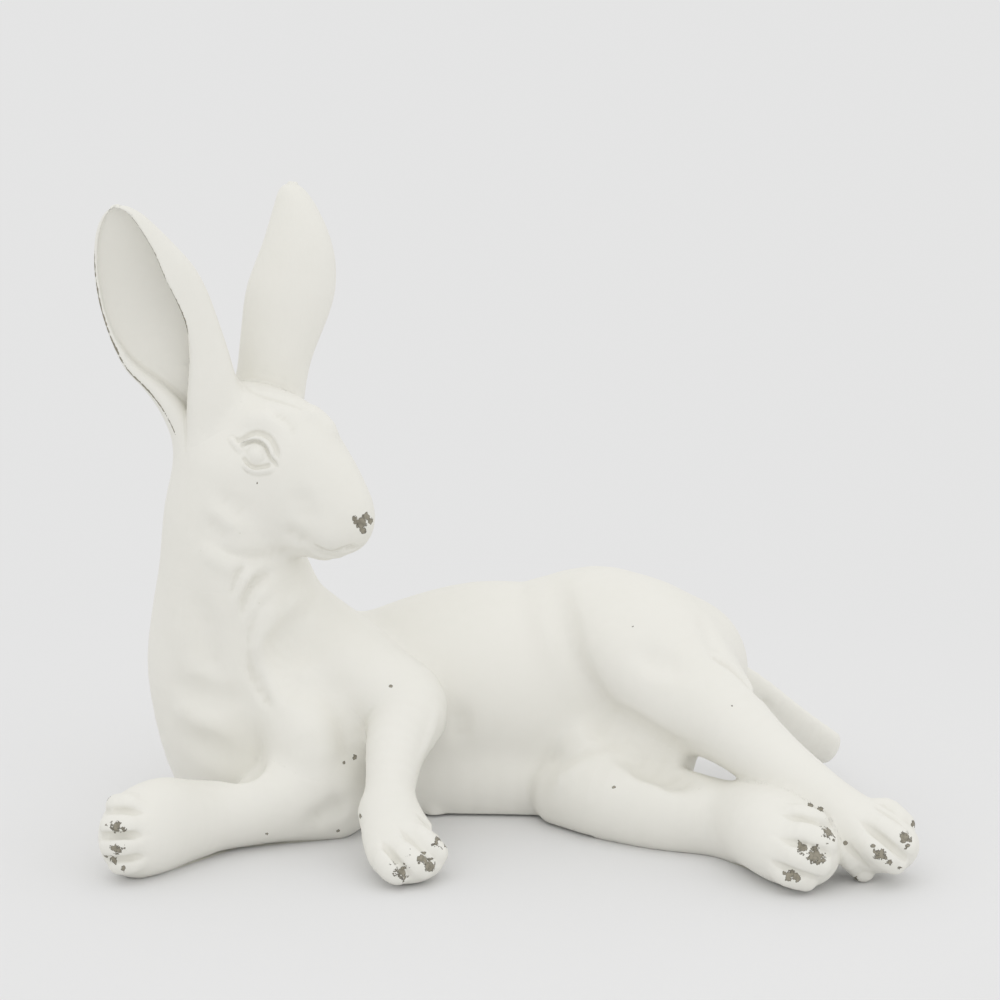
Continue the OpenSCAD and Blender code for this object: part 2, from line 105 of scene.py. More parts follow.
# The coarse block on which the marks are placed: its corners and its step
ROUGH_LOW = (-52, -28, -1)
ROUGH_HIGH = (53, 28, 66)
ROUGH_STEP = 0.5

# Limbs by stations: x to the right, y away from the viewer, z up, half width, half height
TORSO = [(-31, 9, 11, 9, 11), (-22, 10.5, 11, 10.5, 11), (-16, 11.4, 11.2, 11, 11.6),
         (-9, 12.2, 12, 11.6, 13.2), (-2, 12.5, 13, 12, 13.9), (4.6, 12, 13.2, 12, 13.8),
         (10.5, 11.4, 13.3, 11.8, 15.5), (15.5, 10.6, 12.6, 9.8, 13.6)]
BELLY = [(-30, 8, 4, 8, 7), (-20, 8.6, 4, 8, 7), (-8, 9.6, 4, 9, 7.5), (4, 9.6, 4, 9.6, 7.5),
         (12, 8, 4, 8.4, 7)]
RUMP = [(15, 10.4, 17.4, 9.6, 9.8), (19, 10, 17.2, 9.4, 9.6), (22.6, 9.2, 16.8, 8.5, 9.1)]
WITHERS = [(-31, 8, 20, 9.0, 9.0), (-25, 10, 16.8, 9.2, 9.2), (-20.5, 11, 13.4, 9.2, 9.4)]
NECK = [(-30.6, 6.5, 2, 8.2, 9.2), (-31.2, 6.5, 9, 11.0, 9.6), (-31.9, 6, 18, 11.9, 9.4),
        (-32.3, 5.0, 25, 10.8, 8.8), (-32.9, 3.8, 32, 8.9, 8.2), (-32.9, 2.6, 39, 8.0, 7.4),
        (-32.2, 1.6, 45, 7, 6.5)]
UPPER_ARM = [(-26, 0, 17, 5.2, 5.2), (-24.5, -3, 13.2, 4.6, 5.0), (-23.5, -4.4, 8, 4.4, 4.8)]
# Upright limbs, the neck and the chest between the forelegs, give their depth for their height
CHEST = [(-20.4, 1.6, 18, 6, 5.2), (-18.6, -0.3, 11, 4.8, 5.0), (-18.2, -1.0, 4, 4.2, 4.6)]
GROIN = [(12, 2, 8.4, 5.5, 5.5), (17, 0, 8.6, 4.8, 5.0), (20.6, -1.8, 8.4, 3.4, 3.6)]
LEFT_THIGH = [(13, 9, 20.5, 9.5, 9.0), (18, 5, 19.8, 9.5, 9), (22.5, 0, 17.2, 7.8, 7.2),
              (27.5, -6, 14.7, 5.0, 5.1), (32.5, -11, 11.6, 3.9, 3.9), (37, -15, 8.9, 3.5, 3.5),
              (40.5, -17.5, 6.6, 3.7, 3.3)]
LEFT_FOOT = [(40, -17, 6.0, 3.8, 3.6), (42.8, -19, 5.0, 4.6, 4.0), (45, -20.3, 4.5, 4.4, 3.5),
             (46.4, -21.2, 4.2, 3.4, 2.8)]
RIGHT_THIGH = [(9, 1, 3.6, 5.6, 4.8), (14, -3, 4.4, 6.2, 5.8), (20, -7, 4.0, 5.4, 5.4),
               (26, -10, 3.8, 4.4, 4.8), (30, -13, 4.0, 4.2, 5.0)]
RIGHT_FOOT = [(30, -14, 4.6, 4.6, 4.8), (32.2, -18, 5.0, 5.4, 5.0), (34.4, -21.5, 4.4, 5.4, 4.5),
              (35.8, -23.6, 3.9, 4.2, 3.6)]
LEFT_ARM = [(-23.4, 5.2, 22.4, 5.4, 5.6), (-19.6, 3.6, 20.2, 5.8, 5.4), (-15.4, 0.6, 17.7, 5.4, 4.9),
            (-11.4, -3, 15.6, 4.9, 4.6), (-12.6, -8, 12, 3.6, 3.8), (-13.2, -13, 8.4, 2.9, 3.0),
            (-13.4, -15, 6.5, 3.2, 2.8)]
LEFT_HAND = [(-13.2, -15, 6.2, 3.5, 3.0), (-12, -18, 4.2, 4.4, 3.0), (-10.8, -21, 2.8, 4.6, 2.4),
             (-10.2, -22.2, 2.2, 3.8, 2.0)]
RIGHT_ARM = [(-20.6, -4.5, 5.0, 4.6, 5.8), (-27, -6.5, 4.8, 4.7, 5.0), (-33, -9.5, 4.3, 4.2, 4.3),
             (-38, -12.5, 4.3, 4.2, 4.3)]
RIGHT_HAND = [(-37.4, -12.5, 4.5, 4.3, 4.6), (-40.2, -15.5, 5.0, 4.6, 5.6),
              (-42.6, -18.5, 5.0, 4.5, 5.4), (-43.8, -20.2, 4.8, 3.5, 4.4)]
TAIL = [(24, 14, 16.6, 1.8, 3.0), (31, 15, 11.6, 1.6, 3.4), (36.6, 15, 7.4, 1.4, 3.2),
        (42.2, 15, 4.5, 1.2, 2.2)]

# Turn and tilt of the head, the middle between its eyes, and its own directions
HEAD_YAW, HEAD_PITCH = np.radians(26), np.radians(26)
HEAD_MIDDLE = np.array([-27.0, 0.95, 47.9])
FORWARD = np.array([np.cos(HEAD_PITCH) * np.cos(HEAD_YAW), -np.cos(HEAD_PITCH) * np.sin(HEAD_YAW),
                    -np.sin(HEAD_PITCH)])
NEAR = np.array([-np.sin(HEAD_YAW), -np.cos(HEAD_YAW), 0.0])
CROWN = np.array([np.sin(HEAD_PITCH) * np.cos(HEAD_YAW), -np.sin(HEAD_PITCH) * np.sin(HEAD_YAW),
                  np.cos(HEAD_PITCH)])
# Skull: forward, up, half width, half height
SKULL = [(-8, -2.8, 4.4, 6.0), (-5, -3.4, 5.8, 8.6), (-2, -3.7, 6.1, 9.7), (1, -3.7, 5.9, 10.1),
         (4, -3.7, 5.5, 9.4), (7, -3.7, 4.9, 7.9), (9.6, -3.7, 4.3, 6.3), (11.6, -3.6, 3.7, 4.8),
         (12.6, -3.3, 3.0, 3.8)]
# Swellings on each side of the head: forward, near and up, then the three half sizes
HEAD_SWELLINGS = [((-3, 4.2, -5.5), (4.2, 2.0, 4.0), 1.5), ((11.2, 2.1, -4.8), (2.9, 2.0, 2.5), 1.2),
                  ((10.2, 0, -8.5), (2.5, 2.1, 1.3), 0.8)]

# Ears: share of the length, left edge, right edge, free rim, half depth, share of the wall
NEAR_EAR = [(-0.12, -0.2, 3.6, 0.8, 1.2, 4.2), (0.08, -0.3, 4.7, 1.6, 1.4, 4.0),
            (0.20, -0.9, 5.7, 2.4, 1.6, 3.5), (0.30, -2.2, 6.3, 3.2, 1.8, 2.7),
            (0.40, -4.1, 6.8, 3.9, 2.1, 1.7), (0.50, -4.95, 7.1, 4.2, 2.3, 0.9),
            (0.60, -5.2, 7.1, 3.9, 2.3, 0.55), (0.70, -5.0, 6.5, 3.4, 2.2, 0.5),
            (0.80, -4.4, 5.1, 3.1, 1.9, 0.5), (0.88, -3.55, 3.8, 2.5, 1.5, 0.5),
            (0.94, -2.6, 2.7, 1.9, 1.1, 0.5), (0.975, -1.7, 1.7, 1.3, 0.8, 0.5),
            (0.992, -1.0, 1.0, 0.7, 0.5, 0.5), (1.0, -0.35, 0.35, 0.2, 0.3, 0.55)]
FAR_EAR = [(-0.12, -2.6, 2.4, 1.2, 1.3, 4), (0.0, -2.8, 2.5, 1.4, 1.5, 3.9),
           (0.1, -2.7, 2.8, 1.6, 1.8, 3.5), (0.2, -3.0, 3.5, 2.3, 2.3, 2.8),
           (0.3, -3.4, 4.6, 3.0, 2.8, 1.9), (0.4, -3.8, 5.7, 3.7, 3.3, 1),
           (0.5, -3.6, 6.15, 3.9, 3.3, 1), (0.6, -3.0, 6.1, 3.9, 3.1, 1),
           (0.7, -2.3, 5.6, 3.8, 2.8, 1), (0.8, -1.8, 4.6, 3.2, 2.3, 0.95),
           (0.9, -1.35, 3.1, 2.3, 1.6, 0.9), (0.955, -1.1, 2.0, 1.5, 1.1, 0.85),
           (0.985, -0.7, 1.2, 0.9, 0.7, 0.8), (1.0, -0.1, 0.5, 0.3, 0.3, 0.8)]
# Half width of the worn line along the left and the free rim of the near ear, by share of length
NEAR_EAR_WEAR = [(0.05, 0.0, 0.0), (0.12, 0.10, 0.0), (0.26, 0.15, 0.0), (0.30, 0.24, 0.13),
                 (0.34, 0.20, 0.0), (0.38, 0.16, 0.16), (0.42, 0.16, 0.0), (0.47, 0.16, 0.0),
                 (0.49, 0.2, 0.42), (0.56, 0.16, 0.34), (0.60, 0.16, 0.22), (0.78, 0.14, 0.18),
                 (0.84, 0.10, 0.15), (0.90, 0.0, 0.14), (0.96, 0.0, 0.14), (1.0, 0.0, 0.0)]
# Root and tip of each ear: a pixel of the photograph and the depth y there
NEAR_EAR_ENDS = [((196, 455), 0.5), ((115, 207), -2.5)]
FAR_EAR_ENDS = [((270, 392), 6.5), ((291, 184), 8.0)]
# Half of the ears' wall, and the least share of wear that the castings carry
EAR_WALL = 0.45
LEAST_WORN = -4.0

# Ridges and grooves: kind, radius, height, and pixels of the photograph's view
BODY_STROKES = [
    # neck
    (GROOVE, 4.5, 0.55, [(199, 590), (201, 625), (208, 660), (222, 684)]),
    (RIDGE, 3.2, 0.35, [(180, 580), (183, 632), (192, 672), (210, 690)]),
    (GROOVE, 1.6, 0.22, [(193, 528), (206, 550), (222, 562), (240, 564)]),
    (RIDGE, 1.6, 0.22, [(198, 541), (212, 557), (228, 566), (244, 568)]),
    (GROOVE, 0.8, 0.35, [(250, 563), (240.5, 574), (235, 592), (236, 610)]),
    (RIDGE, 1.3, 0.35, [(262, 568), (248, 580), (241, 600), (240, 624)]),
    (GROOVE, 1.3, 0.60, [(278, 569), (260, 583), (249, 602), (244, 626)]),
    (RIDGE, 1.3, 0.40, [(280, 582), (262, 595), (253, 616), (250, 640)]),
    (GROOVE, 1.0, 0.70, [(262, 606), (253, 632), (254, 668), (264, 698), (276, 712)]),
    (RIDGE, 2.4, 0.75, [(286, 590), (271, 615), (264, 645), (269, 682)]),
    (RIDGE, 1.6, 0.80, [(312, 590), (297, 606), (285, 626), (277, 654)]),
    (GROOVE, 3.2, 0.80, [(308, 606), (294, 628), (285, 656), (291, 682), (308, 694), (334, 697)]),
    # chest
    (RIDGE, 3.4, 0.45, [(174, 696), (196, 720), (232, 738)]),
    (GROOVE, 3.0, 0.35, [(182, 684), (215, 697), (252, 702)]),
    (GROOVE, 3.2, 0.40, [(186, 736), (214, 750), (244, 760)]),
    (RIDGE, 3.4, 0.45, [(306, 712), (320, 740), (322, 772)]),
    # shoulder and upper arm
    (RIDGE, 4.4, 0.40, [(318, 612), (345, 642), (372, 668), (398, 694)]),
    (GROOVE, 1.8, 0.30, [(458, 704), (460, 724), (459, 745)]),
    (RIDGE, 0.9, 0.25, [(438, 704), (434, 724), (425, 748), (415, 770)]),
    (GROOVE, 2.2, 0.50, [(303, 826), (330, 812), (350, 800)]),
    # belly and haunch
    (GROOVE, 2.8, 0.90, [(549, 574), (557, 592), (564, 622), (579, 662),
                        (601, 702), (630, 730), (660, 744)]),
    (RIDGE, 4.6, 0.40, [(592, 602), (604, 642), (628, 680), (656, 704)]),
    (GROOVE, 3.0, 0.30, [(640, 650), (662, 664), (690, 670)]),
    (GROOVE, 2.4, 0.35, [(700, 612), (711, 638), (722, 660)]),
    (GROOVE, 0.8, 0.55, [(702, 650), (717, 657), (736, 671), (757, 694), (780, 718)]),
    (GROOVE, 3.0, 0.60, [(612, 704), (636, 726), (668, 742), (700, 748)]),
    (RIDGE, 1.6, 0.30, [(548, 800), (562, 780), (594, 758), (626, 751)])]

# The near side of the head; each stroke is repeated on the far side
HEAD_STROKES = [
    # brow and forehead
    (RIDGE, 1.5, 0.45, [(238, 424), (252, 417), (268, 418), (281, 429)]),
    (GROOVE, 0.9, 0.15, [(268, 406), (280.8, 415.5), (289.3, 423.3), (292.5, 432), (291, 446)]),
    # cheek and jaw
    (RIDGE, 1.8, 0.14, [(212, 502), (226.1, 517), (240, 530)]),
    (GROOVE, 1.8, 0.14, [(216.3, 492), (233.1, 506), (250, 519)]),
    (GROOVE, 1.6, 0.14, [(202, 520), (214, 533), (230, 545)]),
    (GROOVE, 1.3, 0.50, [(196.7, 529), (206, 541), (220, 553), (236, 559), (256, 559),
                         (276.6, 555.2), (290, 550)]),
    (GROOVE, 1.6, 0.30, [(286, 529), (295, 537), (305, 541)]),
    # muzzle, mouth and chin
    (GROOVE, 2.4, 0.25, [(300, 495), (303, 506), (306, 518)]),
    (GROOVE, 0.32, 0.45, [(309, 541), (315.9, 546), (323, 549.5), (331.4, 551.6), (340.3, 549.6),
                          (350.5, 546), (358, 544)]),
    (GROOVE, 0.5, 0.45, [(344, 551), (350, 549.5), (357, 547)]),
    (RIDGE, 0.7, 0.30, [(305, 548), (321.5, 555.5), (338.4, 555.5), (347, 552)]),
    (GROOVE, 0.32, 0.30, [(353, 519), (359, 523), (362, 530)])]

# The far brow, and the valley between the brows
BROW_STROKES = [
    (GROOVE, 0.6, 0.20, [(238, 382), (253.6, 393), (271.4, 398.5), (289.3, 404), (302, 411),
                         (314.8, 421), (326, 431)]),
    (RIDGE, 1.4, 0.80, [(297, 403), (310, 411), (321, 419), (330, 430), (334, 442)])]

# The eye: its pixel, its radius, and how far it stands out
EYE_PIXEL = (256.2, 454.2)
EYE_R = 1.6
EYE_PROUD = 0.42
EYE_STROKES = [
    (RIDGE, 0.5, 0.32, [(238, 446), (245, 440.5), (251, 438.3), (257, 437.6), (263.5, 439.5),
                        (268.5, 444.5), (272.5, 453), (276.5, 462)]),
    (RIDGE, 0.45, 0.26, [(243.5, 461), (248, 467.5), (256, 470.8), (265, 470.3), (274, 468.6)]),
    (GROOVE, 0.26, 0.32, [(240.8, 446.3), (244.6, 443.8), (251, 441.5), (257.4, 441.2), (263.8, 444.4),
                          (267.6, 450), (270, 456.5), (275.3, 464), (279, 468)]),
    (GROOVE, 0.26, 0.26, [(242.7, 455.3), (246, 461.6), (251, 466), (257.4, 467.4), (266.3, 466),
                          (271.4, 463)]),
    (GROOVE, 0.35, 0.26, [(230.6, 435.5), (239.5, 440), (248.5, 435.5), (256, 433), (263.8, 434.2),
                          (271.4, 439.5), (276.8, 450), (279, 461.6)]),
    (RIDGE, 0.35, 0.26, [(231, 438), (236, 445), (241, 451.5)])]

# Toes: pixels from the paw to the toe's end, radius, and how far it stands out
TOES = [
    # left forepaw
    ([(372, 838), (382, 857), (397, 875)], 1.70, 0.75),
    ([(388, 828), (404, 849), (425, 868)], 1.70, 0.80),
    ([(404, 816), (421, 832), (440, 851)], 1.60, 0.80),
    ([(419, 803), (434, 813), (447, 830)], 1.50, 0.75),
    # right forepaw
    ([(150, 802), (130, 801), (114, 802)], 1.65, 0.75),
    ([(150, 824), (128, 824), (108, 825)], 1.70, 0.80),
    ([(150, 846), (128, 846), (108, 847)], 1.70, 0.80),
    ([(152, 865), (134, 866), (117, 867)], 1.55, 0.70),
    # right hind foot
    ([(776, 806), (798, 811), (819, 818)], 1.60, 0.80),
    ([(776, 824), (802, 831), (829, 841)], 1.75, 0.85),
    ([(770, 845), (794, 856), (822, 866)], 1.75, 0.85),
    ([(760, 864), (780, 877), (806, 885)], 1.60, 0.70),
    # left hind foot
    ([(866, 798), (888, 804), (907, 820)], 1.55, 0.75),
    ([(856, 808), (882, 824), (908, 845)], 1.65, 0.85),
    ([(848, 824), (870, 846), (896, 866)], 1.70, 0.85),
    ([(838, 842), (846, 860), (862, 876)], 1.60, 0.70)]
# Grooves between the toes, and their kind, radius and height
PAW_GROOVE = (GROOVE, 0.50, 0.35)
PAW_GROOVES = [
    # left forepaw
    [(378, 834), (392, 856), (410, 877)],
    [(394, 822), (412, 842), (433, 864)],
    [(410, 808), (428, 824), (446, 843)],
    # right forepaw
    [(152, 813), (128, 812), (103, 813)],
    [(152, 835), (126, 835), (101, 836)],
    [(152, 856), (128, 857), (104, 858)],
    # right hind foot
    [(774, 813), (800, 820), (828, 829)],
    [(770, 834), (797, 844), (830, 855)],
    [(762, 856), (786, 868), (817, 877)],
    # left hind foot
    [(866, 802), (889, 815), (912, 834)],
    [(852, 814), (878, 836), (905, 858)],
    [(842, 836), (856, 856), (878, 876)]]
# Claws: pixels of the root and the point, and the radius
CLAWS = [
    ([(396, 868), (403, 876)], 0.55), ([(420, 858), (430, 867)], 0.6), ([(433, 838), (443, 848)], 0.55),
    ([(443, 823), (450, 832)], 0.5), ([(122, 800), (110, 800)], 0.5), ([(122, 826), (106, 826)], 0.55),
    ([(122, 847), (106, 848)], 0.55), ([(124, 867), (112, 868)], 0.5), ([(808, 811), (820, 815)], 0.5),
    ([(820, 831), (832, 838)], 0.6), ([(808, 851), (822, 858)], 0.65), ([(790, 874), (804, 879)], 0.55),
    ([(903, 816), (912, 825)], 0.5), ([(900, 836), (910, 844)], 0.55), ([(886, 857), (898, 867)], 0.6),
    ([(857, 869), (866, 877)], 0.5)]

# Worn spots: a pixel of the photograph's view, and the radius of the bare patch in units. The
# ragged edge of a patch takes some of it back, so each spot is drawn wider by one share
WORN_WIDER = 1.3
WORN = [((358, 522), 0.55), ((361, 524), 0.75), ((367, 517), 0.5), ((363, 530), 0.5),
        ((355, 519), 0.4), ((370, 521), 0.4),
        ((400, 872), 0.85), ((391, 864), 0.35), ((423, 860), 0.8), ((428, 865), 0.8), ((408, 855), 0.4),
        ((411, 851), 0.3), ((436, 840), 0.65), ((441, 846), 0.65), ((447, 828), 0.55), ((449, 833), 0.35),
        ((113, 799), 0.6), ((118, 797), 0.4), ((111, 825), 0.55), ((117, 828), 0.7), ((123, 829), 0.45),
        ((114, 846), 0.5), ((121, 849), 0.55), ((106, 855), 0.4), ((113, 859), 0.55), ((125, 867), 0.4),
        ((810, 806), 0.4), ((819, 810), 0.4), ((823, 816), 0.35), ((826, 834), 0.85), ((830, 836), 0.5),
        ((815, 855), 1.0), ((820, 857), 0.7), ((802, 849), 0.65), ((800, 843), 0.35), ((791, 876), 0.6),
        ((797, 877), 0.5), ((784, 873), 0.3), ((913, 824), 0.45), ((903, 837), 0.7), ((908, 839), 0.4),
        ((906, 846), 0.45), ((880, 855), 0.75), ((875, 851), 0.35), ((889, 861), 0.45),
        ((898, 866), 0.4), ((872, 845), 0.3), ((856, 878), 0.35), ((846, 843), 0.25),
        ((356, 757), 0.35), ((344, 763), 0.2), ((361, 816), 0.3), ((205, 612), 0.16), ((391, 686), 0.2),
        ((633, 627), 0.2), ((732, 706), 0.16), ((614, 787), 0.2), ((267, 834), 0.22), ((338, 831), 0.22),
        ((257, 483), 0.14)]


def unit(v):
    """Vectors divided by their own length."""
    v = np.asarray(v, float)
    return v / (np.linalg.norm(v, axis=-1, keepdims=True) + 1e-12)


def smin(a, b, k):
    """Smooth least of two distances: min(a, b) - k h^3 / 6, where h = max(k - |a - b|, 0) / k."""
    h = np.maximum(k - np.abs(a - b), 0) / k
    return np.minimum(a, b) - h * h * h * (k / 6)


def ease(x):
    """0 below 0, 1 above 1, and 3x^2 - 2x^3 between them."""
    x = np.clip(x, 0, 1)
    return x * x * (3 - 2 * x)


def curve(rows, per):
    """Catmull-Rom curve through the rows, with `per` steps between two rows."""
    rows = np.asarray(rows, float)
    ends = np.vstack([2 * rows[0] - rows[1], rows, 2 * rows[-1] - rows[-2]])
    t = (np.arange(per) / per)[None, :, None]
    a, b, c, d = (ends[i:len(rows) - 1 + i, None, :] for i in range(4))
    bends = 0.5 * (2 * b + (c - a) * t + (2 * a - 5 * b + 4 * c - d) * t ** 2
                   + (3 * b - a - 3 * c + d) * t ** 3)
    return np.vstack([bends.reshape(-1, rows.shape[1]), rows[-1]])


def in_head(forward, near, up):
    """A place in the head's own directions, in the figure's."""
    return HEAD_MIDDLE + forward * FORWARD + near * NEAR + up * CROWN


def dot(q, way):
    """Length of the loose coordinates q along a direction."""
    return q[0] * way[0] + q[1] * way[1] + q[2] * way[2]


class Form:
    """A distance function, the box that it fills and the width of its blend into the clay."""

    def __init__(self, low, high, blend, cut=False, piece=None):
        self.low, self.high = np.asarray(low, float), np.asarray(high, float)
        self.blend, self.cut, self.piece = blend, cut, piece


class Swelling(Form):
    """An ellipsoid: k0 (k0 - 1) / k1 with k0 = |q / r| and k1 = |q / r^2|."""

    def __init__(self, middle, axes, radii, blend, **words):
        self.middle, self.axes, self.radii = middle, axes, radii
        Form.__init__(self, middle - max(radii), middle + max(radii), blend, **words)

    def distance(self, x, y, z):
        """Distance to the ellipsoid."""
        q = (x - self.middle[0], y - self.middle[1], z - self.middle[2])
        parts = [(dot(q, way), r) for way, r in zip(self.axes, self.radii)]
        k0 = np.sqrt(sum((w / r) ** 2 for w, r in parts))
        k1 = np.sqrt(sum((w / (r * r)) ** 2 for w, r in parts))
        return k0 * (k0 - 1) / (k1 + TINY)


class Limb(Form):
    """An elliptical section carried along a curve through stations of place, half width and half
    height: at each link the distance of an ellipsoid whose radii run from one station to the
    next, and the links blended over `inner`."""

    def __init__(self, rows, blend, top=(0, 0, 1), per=4, inner=0.3, **words):
        path = curve(rows, per)
        self.centre, self.wide, self.tall = path[:, :3], path[:, 3], path[:, 4]
        way = unit(np.gradient(self.centre, axis=0))
        self.side = unit(np.cross(top, way))
        self.high_way = np.cross(way, self.side)
        self.inner = inner
        most = np.maximum(self.wide, self.tall)[:, None]
        Form.__init__(self, (self.centre - most).min(0), (self.centre + most).max(0), blend,
                      **words)

    def link(self, i, x, y, z):
        """Distance to the link between stations i and i + 1."""
        a, b = self.centre[i], self.centre[i + 1]
        along = b - a
        span = along @ along
        q = (x - a[0], y - a[1], z - a[2])
        raw = dot(q, along) / span
        t = np.clip(raw, 0, 1)
        q = [q[n] - along[n] * t for n in range(3)]
        wide = self.wide[i] + (self.wide[i + 1] - self.wide[i]) * t
        tall = self.tall[i] + (self.tall[i + 1] - self.tall[i]) * t
        w = dot(q, (self.side[i] + self.side[i + 1]) / 2)
        v = dot(q, (self.high_way[i] + self.high_way[i + 1]) / 2)
        over = (raw - t) * np.sqrt(span)
        cap = np.minimum(wide, tall)
        k0 = np.sqrt((w / wide) ** 2 + (v / tall) ** 2 + (over / cap) ** 2)
        k1 = np.sqrt((w / wide ** 2) ** 2 + (v / tall ** 2) ** 2 + (over / cap ** 2) ** 2)
        return k0 * (k0 - 1) / (k1 + TINY)

    def distance(self, x, y, z):
        """Distance to the whole limb."""
        d = self.link(0, x, y, z)
        for i in range(1, len(self.centre) - 1):
            d = smin(d, self.link(i, x, y, z), self.inner)
        return d


class Rod(Limb):
    """A round rod along a path: |p - nearest place| - radius there."""

    def __init__(self, path, radii, blend, inner=0.05, **words):
        rows = np.hstack([path, np.repeat(np.reshape(radii, (-1, 1)), 2, 1)])
        Limb.__init__(self, rows, blend, per=1, inner=inner, **words)

    def link(self, i, x, y, z):
        """Distance to the cone between places i and i + 1."""
        a, b = self.centre[i], self.centre[i + 1]
        along = b - a
        q = (x - a[0], y - a[1], z - a[2])
        t = np.clip(dot(q, along) / (along @ along + TINY), 0, 1)
        q = [q[n] - along[n] * t for n in range(3)]
        return np.sqrt(dot(q, q)) - (self.wide[i] + (self.wide[i + 1] - self.wide[i]) * t)


class Ear(Form):
    """A cupped leaf: part of an ellipse's wall, open between its two rims on one side.

    Its rows give the left and right edge, the place of the free rim on the open side, the half
    depth and the share of the wall, each by the share of the ear's length."""

    def __init__(self, ends, towards, rows, blend, **words):
        self.root = at_depth(*ends[0])
        tip = at_depth(*ends[1])
        self.length = np.linalg.norm(tip - self.root)
        self.way = (tip - self.root) / self.length
        self.across = unit(np.cross(self.way, towards))
        self.open = np.cross(self.across, self.way)
        self.rows = curve(rows, 4)
        most = np.abs(self.rows[:, 1:5]).max() + 1
        Form.__init__(self, np.minimum(self.root, tip) - most, np.maximum(self.root, tip) + most,
                      blend, **words)

    def section(self, t):
        """The ear across its length at shares of it: the nearest share within the ear, the
        ellipse's middle, half width and half depth, the free rim as a share of the half width,
        and half the wall."""
        share = np.clip(t, self.rows[0, 0], 1)
        left, right, rim, deep, wall = (np.interp(share, self.rows[:, 0], self.rows[:, n])
                                        for n in range(1, 6))
        wide = np.maximum((right - left) / 2, 0.25)
        middle = (left + right) / 2
        rim = np.clip((rim - middle) / wide, -RIM_LIMIT, RIM_LIMIT)
        return share, middle, wide, deep, rim, wall * EAR_WALL

    def worn_rims(self, points, wear):
        """1 - distance / half width from the crests of the two rims, down to LEAST_WORN: the
        free rim's crest stands half a wall past the end of the leaf, along the ellipse."""
        q = points - self.root
        t, a, b = q @ self.way / self.length, q @ self.across, q @ self.open
        _, middle, wide, deep, cos, wall = self.section(t)
        sin = np.sqrt(1 - cos ** 2)
        along = unit(np.stack([-sin * wide, cos * deep], 1)) * wall[:, None]
        crests = [(middle - wide - wall * 0.6, wall * 0.8),
                  (middle + cos * wide + along[:, 0], sin * deep + along[:, 1])]
        place, *widths = np.array(wear).T
        worn = np.full(len(points), LEAST_WORN)
        for (x, y), half in zip(crests, widths):
            width = np.maximum(np.interp(t, place, half), 0.02)
            worn = np.maximum(worn, 1 - np.hypot(a - x, b - y) / width)
        return worn

    def distance(self, x, y, z):
        """| ellipse | - wall, or the distance to the nearer rim where the leaf is open."""
        q = (x - self.root[0], y - self.root[1], z - self.root[2])
        t, a, b = dot(q, self.way) / self.length, dot(q, self.across), dot(q, self.open)
        share, middle, wide, deep, rim, wall = self.section(t)
        a = a - middle
        k0 = np.sqrt((a / wide) ** 2 + (b / deep) ** 2)
        k1 = np.sqrt((a / wide ** 2) ** 2 + (b / deep ** 2) ** 2) + TINY
        leaf = np.abs(k0 * (k0 - 1) / k1)
        rims = np.minimum(np.hypot(a - rim * wide, b - deep * np.sqrt(1 - rim ** 2)),
                          np.hypot(a + wide, b))
        d = np.where((b > 0) & (a < rim * wide), rims, leaf)
        past = (t - share) * self.length
        return np.sqrt(d * d + past * past) - wall


